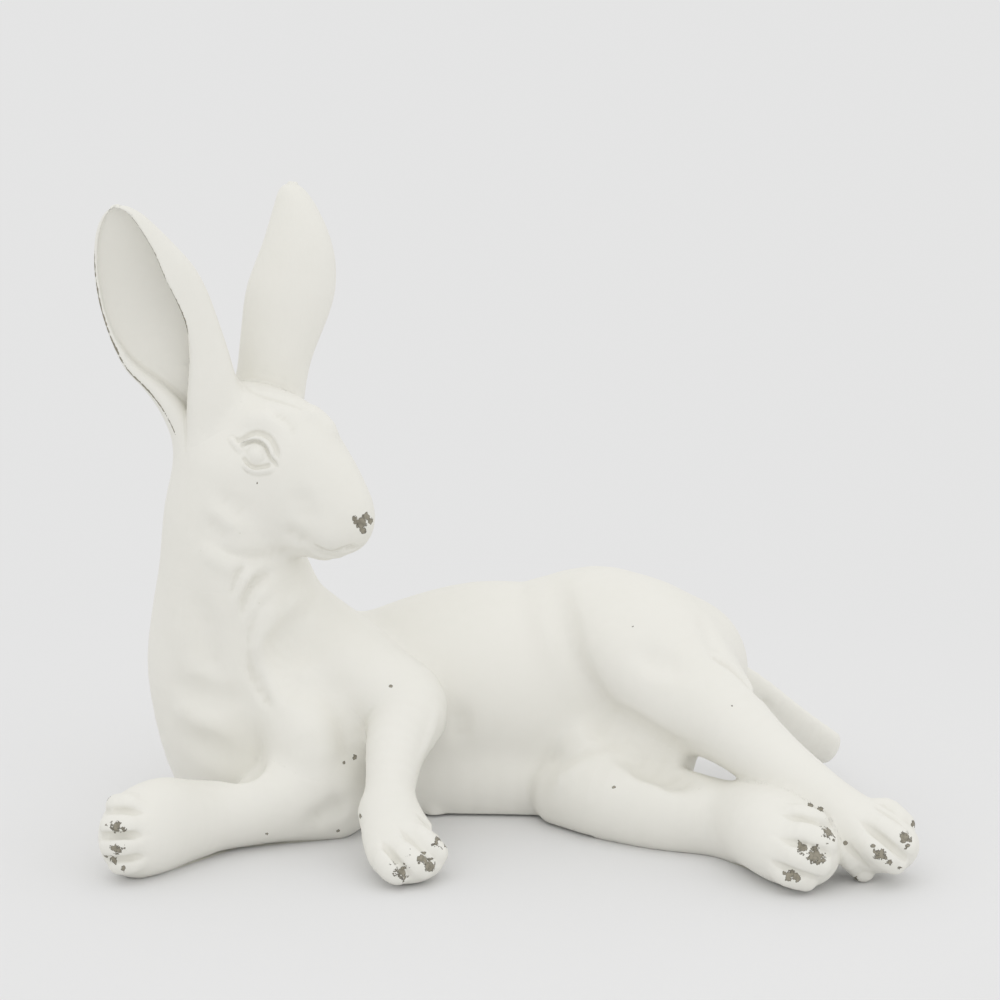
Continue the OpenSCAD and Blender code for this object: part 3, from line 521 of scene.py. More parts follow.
class Clay:
    """A block of distances on a regular grid, into which forms are blended one after another."""

    def __init__(self, low, high, step):
        self.step = step
        self.low = np.asarray(low, float)
        self.axis = [np.arange(a, b + step, step).astype(np.float32) for a, b in zip(low, high)]
        self.f = np.full([len(a) for a in self.axis], FAR, np.float32)

    def window(self, axes, low, high):
        """The slices of some axes between two corners, or None."""
        cuts = tuple(slice(*np.searchsorted(a, (p, q))) for a, p, q in zip(axes, low, high))
        return None if any(c.start >= c.stop for c in cuts) else cuts

    def add(self, form):
        """Blends a form in, or out where it cuts, on the part of the grid that it reaches."""
        room = form.blend + 3 * self.step + 0.3
        cuts = self.window(self.axis, form.low - room, form.high + room)
        if cuts is None:
            return
        axes = [a[c] for a, c in zip(self.axis, cuts)]
        if isinstance(form, Limb):
            d = np.full([len(a) for a in axes], FAR, np.float32)
            most = np.maximum(form.wide, form.tall)
            for i in range(len(form.centre) - 1):
                reach = max(most[i], most[i + 1]) + room
                ends = form.centre[i:i + 2]
                part = self.window(axes, ends.min(0) - reach, ends.max(0) + reach)
                if part is not None:
                    x, y, z = (a[c] for a, c in zip(axes, part))
                    near = form.link(i, x[:, None, None], y[None, :, None], z[None, None, :])
                    d[part] = smin(d[part], near, form.inner)
        else:
            x, y, z = axes
            d = form.distance(x[:, None, None], y[None, :, None], z[None, None, :])
        if form.cut:
            self.f[cuts] = -smin(-self.f[cuts], d, form.blend)
        else:
            self.f[cuts] = smin(self.f[cuts], d, form.blend)

    def value(self, points):
        """Distances at loose points, by trilinear interpolation."""
        top = np.array(self.f.shape) - 1.001
        at = np.clip((points - self.low) / self.step, 0, top)
        cell = at.astype(int)
        part = (at - cell).astype(np.float32)
        total = 0
        for corner in np.ndindex(2, 2, 2):
            weight = 1
            for n in range(3):
                weight = weight * (part[:, n] if corner[n] else 1 - part[:, n])
            total = total + weight * self.f[tuple((cell + corner).T)]
        return total

    def slope(self, points, reach=1.0):
        """Gradient at loose points, from differences over `reach` steps each way."""
        h = reach * self.step
        return np.stack([self.value(points + e) - self.value(points - e)
                         for e in np.eye(3) * h], 1) / (2 * h)

    def bulge(self, points, reach):
        """How the surface bends at loose points: positive on ridges, negative in creases."""
        around = sum(self.value(points + e) + self.value(points - e) for e in np.eye(3) * reach)
        return (around - 6 * self.value(points)) / reach ** 2

    def skin(self):
        """The zero level as a mesh: one vertex in each crossed cell, at the mean of the crossings
        of its edges, and one quad, as two triangles, across each crossed edge of the grid."""
        inside = self.f < 0
        nx, ny, nz = (n - 1 for n in inside.shape)
        count = np.zeros((nx, ny, nz), np.int8)
        for i, j, k in np.ndindex(2, 2, 2):
            count += inside[i:nx + i, j:ny + j, k:nz + k]
        cells = np.argwhere((count > 0) & (count < 8))
        number = np.full((nx, ny, nz), -1, np.int32)
        number[tuple(cells.T)] = np.arange(len(cells))
        total = np.zeros((len(cells), 3))
        hits = np.zeros((len(cells), 1))
        for n in range(3):
            for i, j in np.ndindex(2, 2):
                a, b = np.insert([i, j], n, 0), np.insert([i, j], n, 1)
                fa, fb = (self.f[tuple((cells + end).T)] for end in (a, b))
                cross = (fa < 0) != (fb < 0)
                t = np.where(cross, fa / np.where(cross, fa - fb, 1), 0)[:, None]
                total += cross[:, None] * (a + t * (b - a))
                hits += cross[:, None]
        points = self.low + (cells + total / hits) * self.step
        faces = []
        for n in range(3):
            a, ids = np.moveaxis(inside, n, 0), np.moveaxis(number, n, 0)
            low, high = a[:-1, 1:-1, 1:-1], a[1:, 1:-1, 1:-1]
            for leaving, flip in ((low & ~high, n == 1), (high & ~low, n != 1)):
                p, q, r = np.argwhere(leaving).T
                quad = np.stack([ids[p, q, r], ids[p, q + 1, r], ids[p, q + 1, r + 1],
                                 ids[p, q, r + 1]], 1)
                faces.append(quad[:, ::-1] if flip else quad)
        quads = np.vstack(faces)
        return points, np.vstack([quads[:, [0, 1, 2]], quads[:, [0, 2, 3]]])

    def settled_skin(self):
        """The zero level with its vertices moved onto it along the gradient."""
        points, faces = self.skin()
        for _ in range(SETTLING_ROUNDS):
            g = self.slope(points)
            size = np.maximum(np.linalg.norm(g, axis=1, keepdims=True), 0.2)
            move = -self.value(points)[:, None] * g / size ** 2
            points = points + np.clip(move, -0.5 * self.step, 0.5 * self.step)
        return points, faces


def sight(pixels):
    """Directions of the lines of sight through pixels of the photograph's view."""
    p = np.asarray(pixels, float)
    return unit(-VIEW_BACK + VIEW_RIGHT * (p[:, :1] - PICTURE / 2) / VIEW_FOCAL
                + VIEW_UP * (PICTURE / 2 - p[:, 1:2]) / VIEW_FOCAL)


def at_depth(pixel, y):
    """The place on a pixel's line of sight at depth y."""
    d = sight([pixel])[0]
    return VIEW_FROM + d * (y - VIEW_FROM[1]) / d[1]


def touch(clay, pixels):
    """Where lines of sight first meet the clay, or pass it closest, and its normals there."""
    d = sight(pixels)
    t = np.full(len(d), VIEW_AWAY - FIGURE_BEFORE)
    best, gap = t.copy(), np.full(len(d), FAR)
    for _ in range(SIGHT_STEPS):
        f = clay.value(VIEW_FROM + d * t[:, None])
        closer = f < gap
        best, gap = np.where(closer, t, best), np.where(closer, f, gap)
        # a blended distance is not exact, so a step takes 0.7 of it, and may go back a little
        t = t + np.clip(f * 0.7, -0.4, 3.0)
        t = np.minimum(t, VIEW_AWAY + FIGURE_BEHIND)
    p = VIEW_FROM + d * best[:, None]
    return p, unit(clay.slope(p, SMOOTH_REACH))


def mirrored(points):
    """The same places on the other side of the head's middle plane."""
    return points - 2 * ((points - HEAD_MIDDLE) @ NEAR)[:, None] * NEAR


def strokes(clay, kind, radius, height, pixels, both=False, fade=2.8, per=3, blend=None):
    """A ridge or groove along places of the view: a rod of that radius that stands out of the
    clay, or bites into it, by the height, and sinks away at both ends."""
    path = curve(pixels, per)
    p, n = touch(clay, path)
    s = np.linspace(0, 1, len(path))
    full = ease(fade * np.minimum(s, 1 - s) + 0.05)
    k = min(radius, 1.6) * 0.9 if blend is None else blend
    proud = height * full - (1 - full) * k * 0.35
    middle = p - kind * n * (radius - proud)[:, None]
    ways = [middle, mirrored(middle)] if both else [middle]
    return [Rod(way, np.full(len(way), radius), k, cut=kind == GROOVE) for way in ways]


# The castings and their limbs, with the width of each blend
LIMBS = [("body", TORSO, 0.1), ("body", BELLY, 3), ("body", RUMP, 3), ("body", WITHERS, 3),
         ("neck", NECK, 5), ("body", UPPER_ARM, 3), ("body", CHEST, 3), ("body", GROIN, 2),
         ("left_hind_leg", LEFT_THIGH, 3.5), ("left_hind_leg", LEFT_FOOT, 2),
         ("right_hind_leg", RIGHT_THIGH, 1.6), ("right_hind_leg", RIGHT_FOOT, 2),
         ("left_foreleg", LEFT_ARM, 3), ("left_foreleg", LEFT_HAND, 2),
         ("right_foreleg", RIGHT_ARM, 3), ("right_foreleg", RIGHT_HAND, 2), ("tail", TAIL, 1.5)]
# Room left round a casting in its block
ROOM = 2.2
# Where a casting starts along its limb: the limb and the number of its station
SEAMS = {"left_foreleg": (LEFT_ARM, 2), "left_hind_leg": (LEFT_THIGH, 2),
         "right_hind_leg": (RIGHT_THIGH, 1), "head": (NECK, 4)}


def claw(clay, pixels, radius):
    """A short blunt claw that lies on a toe, from a pixel at its root to one at its point."""
    p, n = touch(clay, pixels)
    rows = p - n * np.array([[radius * 0.5], [radius * 0.1]])
    return Rod(curve(rows, 2), np.linspace(radius, radius * 0.5, 3), radius * 0.35)


def toe(clay, pixels, radius, proud):
    """A toe that runs through pixels to its round end, standing out of the paw, with a swelling
    at its knuckle and one at its end."""
    path = curve(pixels, 4)
    p, n = touch(clay, path)
    s = np.linspace(0, 1, len(path))
    r = radius * (0.94 + 0.1 * np.cos(2 * np.pi * (s - 0.82) / 0.58))
    free = ease(1.6 * s)
    out = proud * free - (1 - free) * 0.5
    return Rod(p - n * (r - out)[:, None], r, 0.5, inner=0.2)


class Figure:
    """All the forms of the hare, in the order in which they are blended."""

    def __init__(self):
        self.limbs = [Limb(rows, k, top=(0, -1, 0) if rows in (NECK, CHEST) else (0, 0, 1),
                           piece=name) for name, rows, k in LIMBS]
        skull = [(*in_head(a, 0, c), w, h) for a, c, w, h in SKULL]
        self.limbs.append(Limb(skull, 2, top=CROWN, piece="head"))
        self.ears = [Ear(NEAR_EAR_ENDS, VIEW_BACK, NEAR_EAR, 3.2, piece="right_ear"),
                     Ear(FAR_EAR_ENDS, -VIEW_BACK,
                         [(t, -right, -left, rim, deep, wall) for t, left, right, rim, deep, wall
                          in FAR_EAR], 1.4, piece="left_ear")]
        self.rough = Clay(ROUGH_LOW, ROUGH_HIGH, ROUGH_STEP)
        for form in self.limbs:
            self.rough.add(form)
        self.marks = []
        self.model_head()
        self.model_body()
        self.model_paws()
        self.spots = [(touch(self.rough, [pixel])[0][0], radius * WORN_WIDER) for pixel, radius in WORN]

    def model_body(self):
        """Folds and hollows of the neck, chest, belly and haunch."""
        for mark in BODY_STROKES:
            self.marks += strokes(self.rough, *mark)

    def model_head(self):
        """Cheeks, muzzle, chin, brows, mouth, nostrils, and the eyes in their lids."""
        for (forward, near, up), radii, blend in HEAD_SWELLINGS:
            for side in (1, -1):
                middle = in_head(forward, side * near, up)
                form = Swelling(middle, (FORWARD, NEAR, CROWN), radii, blend)
                self.rough.add(form)
                self.marks.append(form)
        for mark in HEAD_STROKES:
            self.marks += strokes(self.rough, *mark, both=True)
        for mark in BROW_STROKES:
            self.marks += strokes(self.rough, *mark)
        p, n = touch(self.rough, [EYE_PIXEL])
        eye = p - n * (EYE_R - EYE_PROUD)
        for middle in (eye, mirrored(eye)):
            self.marks.append(Swelling(middle[0], np.eye(3), (EYE_R,) * 3, 0.12))
        for mark in EYE_STROKES:
            self.marks += strokes(self.rough, *mark, both=True, fade=6, per=4, blend=0.15)

    def model_paws(self):
        """Toes, the grooves between them, and claws."""
        for pixels, radius, proud in TOES:
            self.marks.append(toe(self.rough, pixels, radius, proud))
        for pixels in PAW_GROOVES:
            self.marks += strokes(self.rough, *PAW_GROOVE, pixels, fade=2.0, blend=0.4)
        for pixels, radius in CLAWS:
            self.marks.append(claw(self.rough, pixels, radius))

    def clay(self, low, high, step):
        """The whole figure in one block."""
        block = Clay(low, high, step)
        for form in self.limbs + self.marks + self.ears:
            block.add(form)
        return block

    def room(self, cuts):
        """The corners of the box that a casting fills, from the coarse block and its cuts."""
        ear = next((form for form in self.ears if (form.piece, 1) in cuts), None)
        if ear:
            low, high = ear.low.copy(), ear.high
        else:
            near = np.abs(self.rough.f[::2, ::2, ::2]) < 1.2
            points = self.rough.low + np.argwhere(near) * (2 * self.rough.step)
            level = np.max([side * self.outside(piece, points) for piece, side in cuts], 0)
            own = points[level < 0.5]
            low, high = own.min(0) - ROOM, own.max(0) + ROOM
        low[2] = max(low[2], self.rough.low[2])
        return low, high

    def outside(self, piece, points):
        """How far points lie outside a casting's share of the figure, negative inside it: nearer
        to its own limbs than to the others, and past the seam where its limb is cut."""
        x, y, z = points.T
        own, rest = FAR, FAR
        for form in self.limbs + self.ears:
            mine = form.piece == piece or (piece == "head" and form.piece == "neck")
            d = form.distance(x, y, z)
            own, rest = (np.minimum(own, d), rest) if mine else (own, np.minimum(rest, d))
        out = own - rest
        if piece in SEAMS:
            rows, station = SEAMS[piece]
            rows = np.array(rows, float)[:, :3]
            way = unit(rows[station + 1] - rows[station - 1])
            out = np.maximum(out, (rows[station] - points) @ way)
        return out


class Casting:
    """A closed mesh of triangles in the figure's units, which knows its flat faces."""

    def __init__(self, points, faces):
        self.points, self.faces = points, faces
        self.flat = np.zeros(len(faces), bool)

    def add(self, points, faces):
        """Adds flat faces, whose new vertices are numbered on from the last."""
        if len(points):
            self.points = np.vstack([self.points, points])
        self.faces = np.vstack([self.faces, faces])
        self.flat = np.append(self.flat, np.ones(len(faces), bool))

    def clip(self, level):
        """Keeps what lies where the level is below 0. A crossed face is cut along the line
        between the two crossings of its edges, t = level a / (level a - level b). Returns the
        new rim as pairs of vertices."""
        inside = level < 0
        count = inside[self.faces].sum(1)
        crossed = (count == 1) | (count == 2)
        cut, one, flat = self.faces[crossed], count[crossed] == 1, self.flat[crossed]
        row = np.arange(len(cut))
        lone = np.argmax(inside[cut] == one[:, None], 1)
        a, b, c = (cut[row, (lone + n) % 3] for n in range(3))
        ends = np.sort(np.vstack([np.stack([a, b], 1), np.stack([a, c], 1)]), 1)
        edges, back = np.unique(ends, axis=0, return_inverse=True)
        p, q = edges.T
        t = np.clip(level[p] / (level[p] - level[q]), 0.04, 0.96)[:, None]
        ab, ac = np.split(back.ravel() + len(self.points), 2)
        self.points = np.vstack([self.points, self.points[p] * (1 - t) + self.points[q] * t])
        two = ~one
        keep = count == 3
        self.faces = np.vstack([
            self.faces[keep], np.stack([a, ab, ac], 1)[one],
            np.stack([ab, b, c], 1)[two], np.stack([ab, c, ac], 1)[two]])
        self.flat = np.concatenate([self.flat[keep], flat[one], flat[two], flat[two]])
        return np.vstack([np.stack([ab, ac], 1)[one], np.stack([ac, ab], 1)[two]])

    def loops(self, rim):
        """The number of the loop that each pair of a rim belongs to, the longest loop first."""
        a, b = rim.T
        label = np.arange(len(self.points))
        while True:
            new = label.copy()
            low = np.minimum(label[a], label[b])
            np.minimum.at(new, a, low)
            np.minimum.at(new, b, low)
            new = new[new]
            if (new == label).all():
                break
            label = new
        _, which, size = np.unique(label[a], return_inverse=True, return_counts=True)
        order = np.argsort(np.argsort(-size, kind="stable"), kind="stable")
        return order[which]

    def close(self, rim, which=None):
        """Closes each loop of a rim with a fan round the mean of its points."""
        if not len(rim):
            return
        which = self.loops(rim) if which is None else which
        count = np.bincount(which)
        middle = np.stack([np.bincount(which, self.points[rim[:, 0], n]) / np.maximum(count, 1)
                           for n in range(3)], 1)
        hub = len(self.points) + which
        self.add(middle, np.stack([rim[:, 1], rim[:, 0], hub], 1))

    def seat_plate(self, rim, ends, radius, top):
        """Closes the underside: level in to an outline of that radius round a straight line,
        up its wall, and over it at the top."""
        which = self.loops(rim)
        self.close(rim[which > 0], which[which > 0] - 1)
        rim = rim[which == 0]
        ids, back = np.unique(rim, return_inverse=True)
        ring = self.points[ids]
        along = ends[1] - ends[0]
        t = np.clip((ring[:, :2] - ends[0]) @ along / (along @ along), 0, 1)[:, None]
        near = ends[0] + t * along
        seat = near + unit(ring[:, :2] - near) * radius
        floor = np.hstack([seat, ring[:, 2:]])
        ceiling = np.hstack([seat, np.full((len(ids), 1), top)])
        hub = np.append(ends.mean(0), top)[None]
        n, first = len(ids), len(self.points)
        a, b = back.reshape(-1, 2).T
        rings = [ids[[a, b]], np.stack([a, b]) + first, np.stack([a, b]) + first + n]
        faces = [np.stack([low[1], low[0], high[0]], 1) for low, high in zip(rings, rings[1:])]
        faces += [np.stack([low[1], high[0], high[1]], 1) for low, high in zip(rings, rings[1:])]
        faces.append(np.stack([rings[2][1], rings[2][0], np.full(len(a), first + 2 * n)], 1))
        self.add(np.vstack([floor, ceiling, hub]), np.vstack(faces))

    def tidy(self):
        """Drops the vertices that no face uses."""
        used, back = np.unique(self.faces, return_inverse=True)
        self.points, self.faces = self.points[used], back.reshape(-1, 3)


def to_frame(points):
    """Places of the figure in metres, in the frame."""
    return (np.asarray(points, float) + TO_FRAME) * UNIT


def put_mesh(name, points, faces, flat=None, values=None):
    """A mesh object at the origin, from whole arrays, with its values as attributes."""
    mesh = bpy.data.meshes.new(name)
    mesh.vertices.add(len(points))
    mesh.vertices.foreach_set("co", np.ascontiguousarray(points, np.float32).ravel())
    sides = faces.shape[1]
    mesh.loops.add(faces.size)
    mesh.loops.foreach_set("vertex_index", np.ascontiguousarray(faces, np.int32).ravel())
    mesh.polygons.add(len(faces))
    mesh.polygons.foreach_set("loop_start", np.arange(0, faces.size, sides, dtype=np.int32))
    smooth = np.ones(len(faces), bool) if flat is None else ~flat
    mesh.polygons.foreach_set("use_smooth", smooth)
    mesh.update(calc_edges=True)
    for key, value in (values or {}).items():
        layer = mesh.attributes.new(key, "FLOAT", "POINT")
        layer.data.foreach_set("value", np.ascontiguousarray(value, np.float32))
    piece = bpy.data.objects.new(name, mesh)
    bpy.context.scene.collection.objects.link(piece)
    return piece


def spot_share(points, spots):
    """How far points lie inside spots: the most of 1 - distance / radius, down to LEAST_WORN.
    Along the view the distance counts 0.3 times, so that a spot reaches the toe over it."""
    share = np.full(len(points), LEAST_WORN)
    for place, radius in spots:
        q = points - place
        away = np.linalg.norm(q - 0.7 * (q @ VIEW_BACK)[:, None] * VIEW_BACK, axis=1)
        share = np.maximum(share, 1 - away / radius)
    return share


def cast(figure, name, step, floor, cuts):
    """One casting of the figure: its room in the clay, cut at the floor and at its seams, where
    it laps the next one and sinks a little, so that no step shows.

    Its mesh carries two values: how far it lies inside a worn spot or line, and how deep it
    lies in a crease."""
    low, high = figure.room(cuts)
    block = figure.clay(low, high, step)
    block.f = np.maximum(block.f, low[2] + 1.5 * step - block.axis[2])
    body = Casting(*block.settled_skin())
    for piece, side in cuts:
        level = side * figure.outside(piece, body.points) - SEAM_LAP
        body.close(body.clip(level))
    rim = body.clip(floor - body.points[:, 2])
    if name == "body":
        body.seat_plate(rim, PLATE_ENDS, PLATE_R, PLATE_TOP)
    else:
        body.close(rim)
    body.tidy()
    places = body.points
    past = np.max([side * figure.outside(piece, places) for piece, side in cuts], 0)
    sink = SEAM_SINK * ease((past + SEAM_LAP) / (2 * SEAM_LAP))
    body.points = places - unit(block.slope(places, SMOOTH_REACH)) * (sink * (sink > 0))[:, None]
    chip = spot_share(places, figure.spots)
    if name == "right_ear":
        chip = np.maximum(chip, figure.ears[0].worn_rims(places, NEAR_EAR_WEAR))
    bend = block.bulge(places, max(0.45, 1.2 * step))
    # crease: how deep a point lies in a crease; the paint darkens these points as painted shade
    values = {"chip": chip, "crease": np.clip(-bend, 0, 3)}
    return put_mesh("hare_" + name, to_frame(body.points), body.faces, body.flat, values)


class Tree:
    """Places and joins the nodes of a material or of a group."""

    def __init__(self, tree):
        self.tree = tree

    def add(self, kind, *joined, **values):
        """A node with its inputs joined in order, and its named properties and inputs set."""
        node = self.tree.nodes.new(kind)
        for key, value in values.items():
            socket = node.inputs.get(key.replace("_", " "))
            if hasattr(node, key):
                setattr(node, key, value)
            elif isinstance(value, bpy.types.NodeSocket):
                self.tree.links.new(value, socket)
            else:
                socket.default_value = value
        for socket, source in zip(node.inputs, joined):
            self.give(socket, source)
        return node

    def give(self, socket, source):
        """Joins a socket to another, or sets it."""
        if isinstance(source, bpy.types.NodeSocket):
            self.tree.links.new(source, socket)
        elif source is not None:
            socket.default_value = source

    def maths(self, operation, *joined):
        """The result of a Math node."""
        return self.add("ShaderNodeMath", *joined, operation=operation).outputs[0]

    def blend(self, share, first, second):
        """The result of a Mix node on colours."""
        node = self.add("ShaderNodeMix", data_type="RGBA")
        for key, source in ((0, share), (6, first), (7, second)):
            self.give(node.inputs[key], source)
        return node.outputs[2]

    def ramp(self, value, low, high, start=0.0, end=1.0):
        """A smooth step of a value from one bound to another."""
        node = self.add("ShaderNodeMapRange", value, low, high, start, end,
                        interpolation_type="SMOOTHSTEP")
        return node.outputs[0]

    def noise(self, place, scale, detail, rough=0.5):
        """The result of a Noise node, `scale` features to the metre."""
        return self.add("ShaderNodeTexNoise", Vector=place, Scale=scale, Detail=detail,
                        Roughness=rough).outputs[0]

    def per(self, size):
        """How many features of a size go to the metre."""
        return self.maths("DIVIDE", 1.0, size)


def group(name, inputs, outputs):
    """A node group with its sockets: its Tree, its input sockets by name and its output node."""
    made = bpy.data.node_groups.new(name, "ShaderNodeTree")
    for key, kind, value in inputs:
        socket = made.interface.new_socket(key, in_out="INPUT", socket_type="NodeSocket" + kind)
        if value is not None:
            socket.default_value = value
    for key, kind in outputs:
        made.interface.new_socket(key, in_out="OUTPUT", socket_type="NodeSocket" + kind)
    tree = Tree(made)
    return tree, made.nodes.new("NodeGroupInput").outputs, made.nodes.new("NodeGroupOutput").inputs


def mottle_group():
    """Cloudy change of tone: two noises of different size pull the colour towards a tint."""
    tree, given, out = group("Mottle", [
        ("Place", "Vector", None), ("Color", "Color", (0.8, 0.8, 0.8, 1)),
        ("Tint", "Color", (0.7, 0.7, 0.6, 1)), ("Size", "Float", 0.05), ("Amount", "Float", 0.1)],
        [("Color", "Color")])
    scale = tree.per(given["Size"])
    wide = tree.noise(given["Place"], scale, 5.0)
    fine = tree.noise(given["Place"], tree.maths("MULTIPLY", scale, 9.0), 3.0)
    both = tree.maths("ADD", tree.maths("MULTIPLY", wide, 0.7), tree.maths("MULTIPLY", fine, 0.3))
    share = tree.maths("MULTIPLY", tree.ramp(both, 0.35, 0.7), given["Amount"])
    tree.give(out["Color"], tree.blend(share, given["Color"], given["Tint"]))
    return tree.tree


def worn_group():
    """Ragged patches where a value is high: the value and a noise pass a threshold. The middle
    is what lies well inside them."""
    tree, given, out = group("Worn patches", [
        ("Place", "Vector", None), ("Value", "Float", 0.0), ("Size", "Float", 0.002),
        ("Threshold", "Float", 0.5)], [("Mask", "Float"), ("Middle", "Float")])
    wide = tree.noise(given["Place"], tree.per(given["Size"]), 4.0, 0.6)
    ragged = tree.maths("MULTIPLY_ADD", tree.maths("SUBTRACT", wide, 0.5), 2.6, given["Value"])
    past = tree.maths("SUBTRACT", ragged, given["Threshold"])
    tree.give(out["Mask"], tree.ramp(past, -0.04, 0.04))
    tree.give(out["Middle"], tree.ramp(past, 0.05, 0.22))
    return tree.tree


def grain_group():
    """Heights of a cast and brushed surface: soft waves, fine grain, and a few round pits."""
    tree, given, out = group("Cast grain", [
        ("Place", "Vector", None), ("Wave", "Float", 0.02), ("Grain", "Float", 0.001),
        ("Pits", "Float", 0.02)], [("Height", "Float"), ("Pit", "Float")])
    wave = tree.noise(given["Place"], tree.per(given["Wave"]), 3.0)
    grain = tree.noise(given["Place"], tree.per(given["Grain"]), 3.0)
    cells = tree.add("ShaderNodeTexVoronoi", Vector=given["Place"], Scale=tree.per(given["Pits"]))
    few = tree.maths("LESS_THAN", cells.outputs["Color"], 0.3)
    pit = tree.maths("MULTIPLY", tree.ramp(cells.outputs["Distance"], 0.05, 0.02), few)
    height = tree.maths("ADD", tree.maths("MULTIPLY", wave, 0.6), tree.maths("MULTIPLY", grain, 0.4))
    tree.give(out["Height"], tree.maths("SUBTRACT", height, pit))
    tree.give(out["Pit"], pit)
    return tree.tree


def effect(name):
    """A shared node group, built when it is first asked for."""
    makers = {"Mottle": mottle_group, "Worn patches": worn_group, "Cast grain": grain_group}
    return bpy.data.node_groups.get(name) or makers[name]()


def material(name):
    """A new material, its Tree, its Principled shader and its object coordinates."""
    made = bpy.data.materials.new(name)
    made.use_nodes = True
    tree = Tree(made.node_tree)
    shader = made.node_tree.nodes["Principled BSDF"]
    place = tree.add("ShaderNodeTexCoord").outputs["Object"]
    return made, tree, shader, place


def placed(tree, name, place, **values):
    """The outputs of a shared group, placed in a material with its own values."""
    node = tree.add("ShaderNodeGroup", node_tree=effect(name))
    tree.give(node.inputs["Place"], place)
    for key, value in values.items():
        tree.give(node.inputs[key], value)
    return node.outputs


def mottled(tree, place, colour, tint, size, amount):
    """A colour that drifts to a tint in clouds of a size."""
    return placed(tree, "Mottle", place, Color=(*colour, 1), Tint=(*tint, 1), Size=size,
                  Amount=amount)["Color"]


def dress(tree, shader, tone, rough, height, strength, depth):
    """Gives the shader its colour, its roughness, and a bump of a strength and depth."""
    bump = tree.add("ShaderNodeBump", Strength=strength, Distance=depth, Height=height).outputs[0]
    for key, source in (("Base Color", tone), ("Roughness", rough), ("Normal", bump)):
        tree.give(shader.inputs[key], source)


def paint_material(look):
    """Matte off-white paint on a grey-brown casting: cloudy tone, painted shade that darkens creases and
    pits, and chips whose edge shows the dark core."""
    made, tree, shader, place = material("distressed_paint")
    chip, crease = (tree.add("ShaderNodeAttribute", attribute_name=key).outputs["Fac"]
                    for key in ("chip", "crease"))
    grain = placed(tree, "Cast grain", place, Wave=0.03, Grain=0.0009, Pits=0.017)
    tone = mottled(tree, place, look.paint, look.tint, 0.06, 0.5)
    painted_shade = (*look.painted_shade, 1)
    # Painted shade: the deeper a crease bends in, the more its colour is darkened toward the shade tone
    crease_shade_share = tree.maths("MULTIPLY", tree.ramp(crease, 0.15, 1.2), 0.30)
    tone = tree.blend(crease_shade_share, tone, painted_shade)
    # Painted shade: the pits of the grain are darkened toward the shade tone
    tone = tree.blend(tree.maths("MULTIPLY", grain["Pit"], 0.35), tone, painted_shade)
    worn = placed(tree, "Worn patches", place, Value=chip, Size=0.0035, Threshold=0.34)
    bare = mottled(tree, place, look.bare, look.core, 0.002, 0.6)
    bare = tree.blend(worn["Middle"], (*look.core, 1), bare)
    rough = tree.ramp(tree.noise(place, 250, 4.0, 0.55), 0.2, 0.8, 0.62, 0.82)
    height = tree.maths("SUBTRACT", grain["Height"], tree.maths("MULTIPLY", worn["Mask"], 1.2))
    dress(tree, shader, tree.blend(worn["Mask"], tone, bare), rough, height, 0.35, 0.0002)
    shader.inputs["Specular IOR Level"].default_value = 0.3
    return made


def plate_material(look):
    """A pressed fibre plate: warm grey, with flecks and a soft grain."""
    made, tree, shader, place = material("pressed_plate")
    grain = placed(tree, "Cast grain", place, Wave=0.008, Grain=0.0006, Pits=0.006)
    tone = mottled(tree, place, look.plate, look.core, 0.004, 0.35)
    rough = tree.ramp(tree.noise(place, 500, 4.0, 0.55), 0.2, 0.8, 0.7, 0.9)
    dress(tree, shader, tone, rough, grain["Height"], 0.5, 0.0003)
    return made


def steel_material(look):
    """Drawn steel: bright, with fine marks along the rod and dull spots."""
    made, tree, shader, place = material("drawn_steel")
    shader.inputs["Metallic"].default_value = 1.0
    tone = mottled(tree, place, look.steel, look.core, 0.004, 0.25)
    drawn = tree.add("ShaderNodeMapping", Vector=place, Scale=(1, 1, 12)).outputs[0]
    marks = tree.noise(drawn, 1250, 4.0, 0.55)
    dress(tree, shader, tone, tree.ramp(marks, 0.2, 0.8, 0.28, 0.5), marks, 0.2, 0.0001)
    return made


def felt_material(look):
    """Pressed wool felt: tangled fine noise, a little fuzz at its edges."""
    made, tree, shader, place = material("wool_felt")
    tangle = tree.noise(place, 1 / 0.0006, 8.0, 0.75)
    dark, pale = (tuple(min(c * times, 1) for c in look.felt) for times in (0.5, 2))
    tone = tree.blend(tree.ramp(tangle, 0.3, 0.7, 0.0, 0.35),
                      mottled(tree, place, look.felt, dark, 0.003, 0.6), (*pale, 1))
    dress(tree, shader, tone, tree.ramp(tangle, 0.2, 0.8, 0.85, 1.0), tangle, 0.8, 0.0004)
    shader.inputs["Sheen Weight"].default_value = 0.3
    return made


def finish_with(piece, made):
    """Gives a piece one material in all its slots."""
    if not piece.data.materials:
        piece.data.materials.append(made)
    for number, slot in enumerate(piece.material_slots):
        slot.link = "OBJECT" if number or slot.material is None else slot.link
        slot.material = made


def paint():
    """The paint material, made when it is first asked for."""
    return (bpy.data.materials.get("distressed_paint")
            or paint_material(bpy.context.scene.hare_finish))



# What the properties for colours, and those for steps, have in common
COLOUR = {"subtype": "COLOR", "min": 0, "max": 1}
STEP = {"min": 0.12, "max": 1.5}


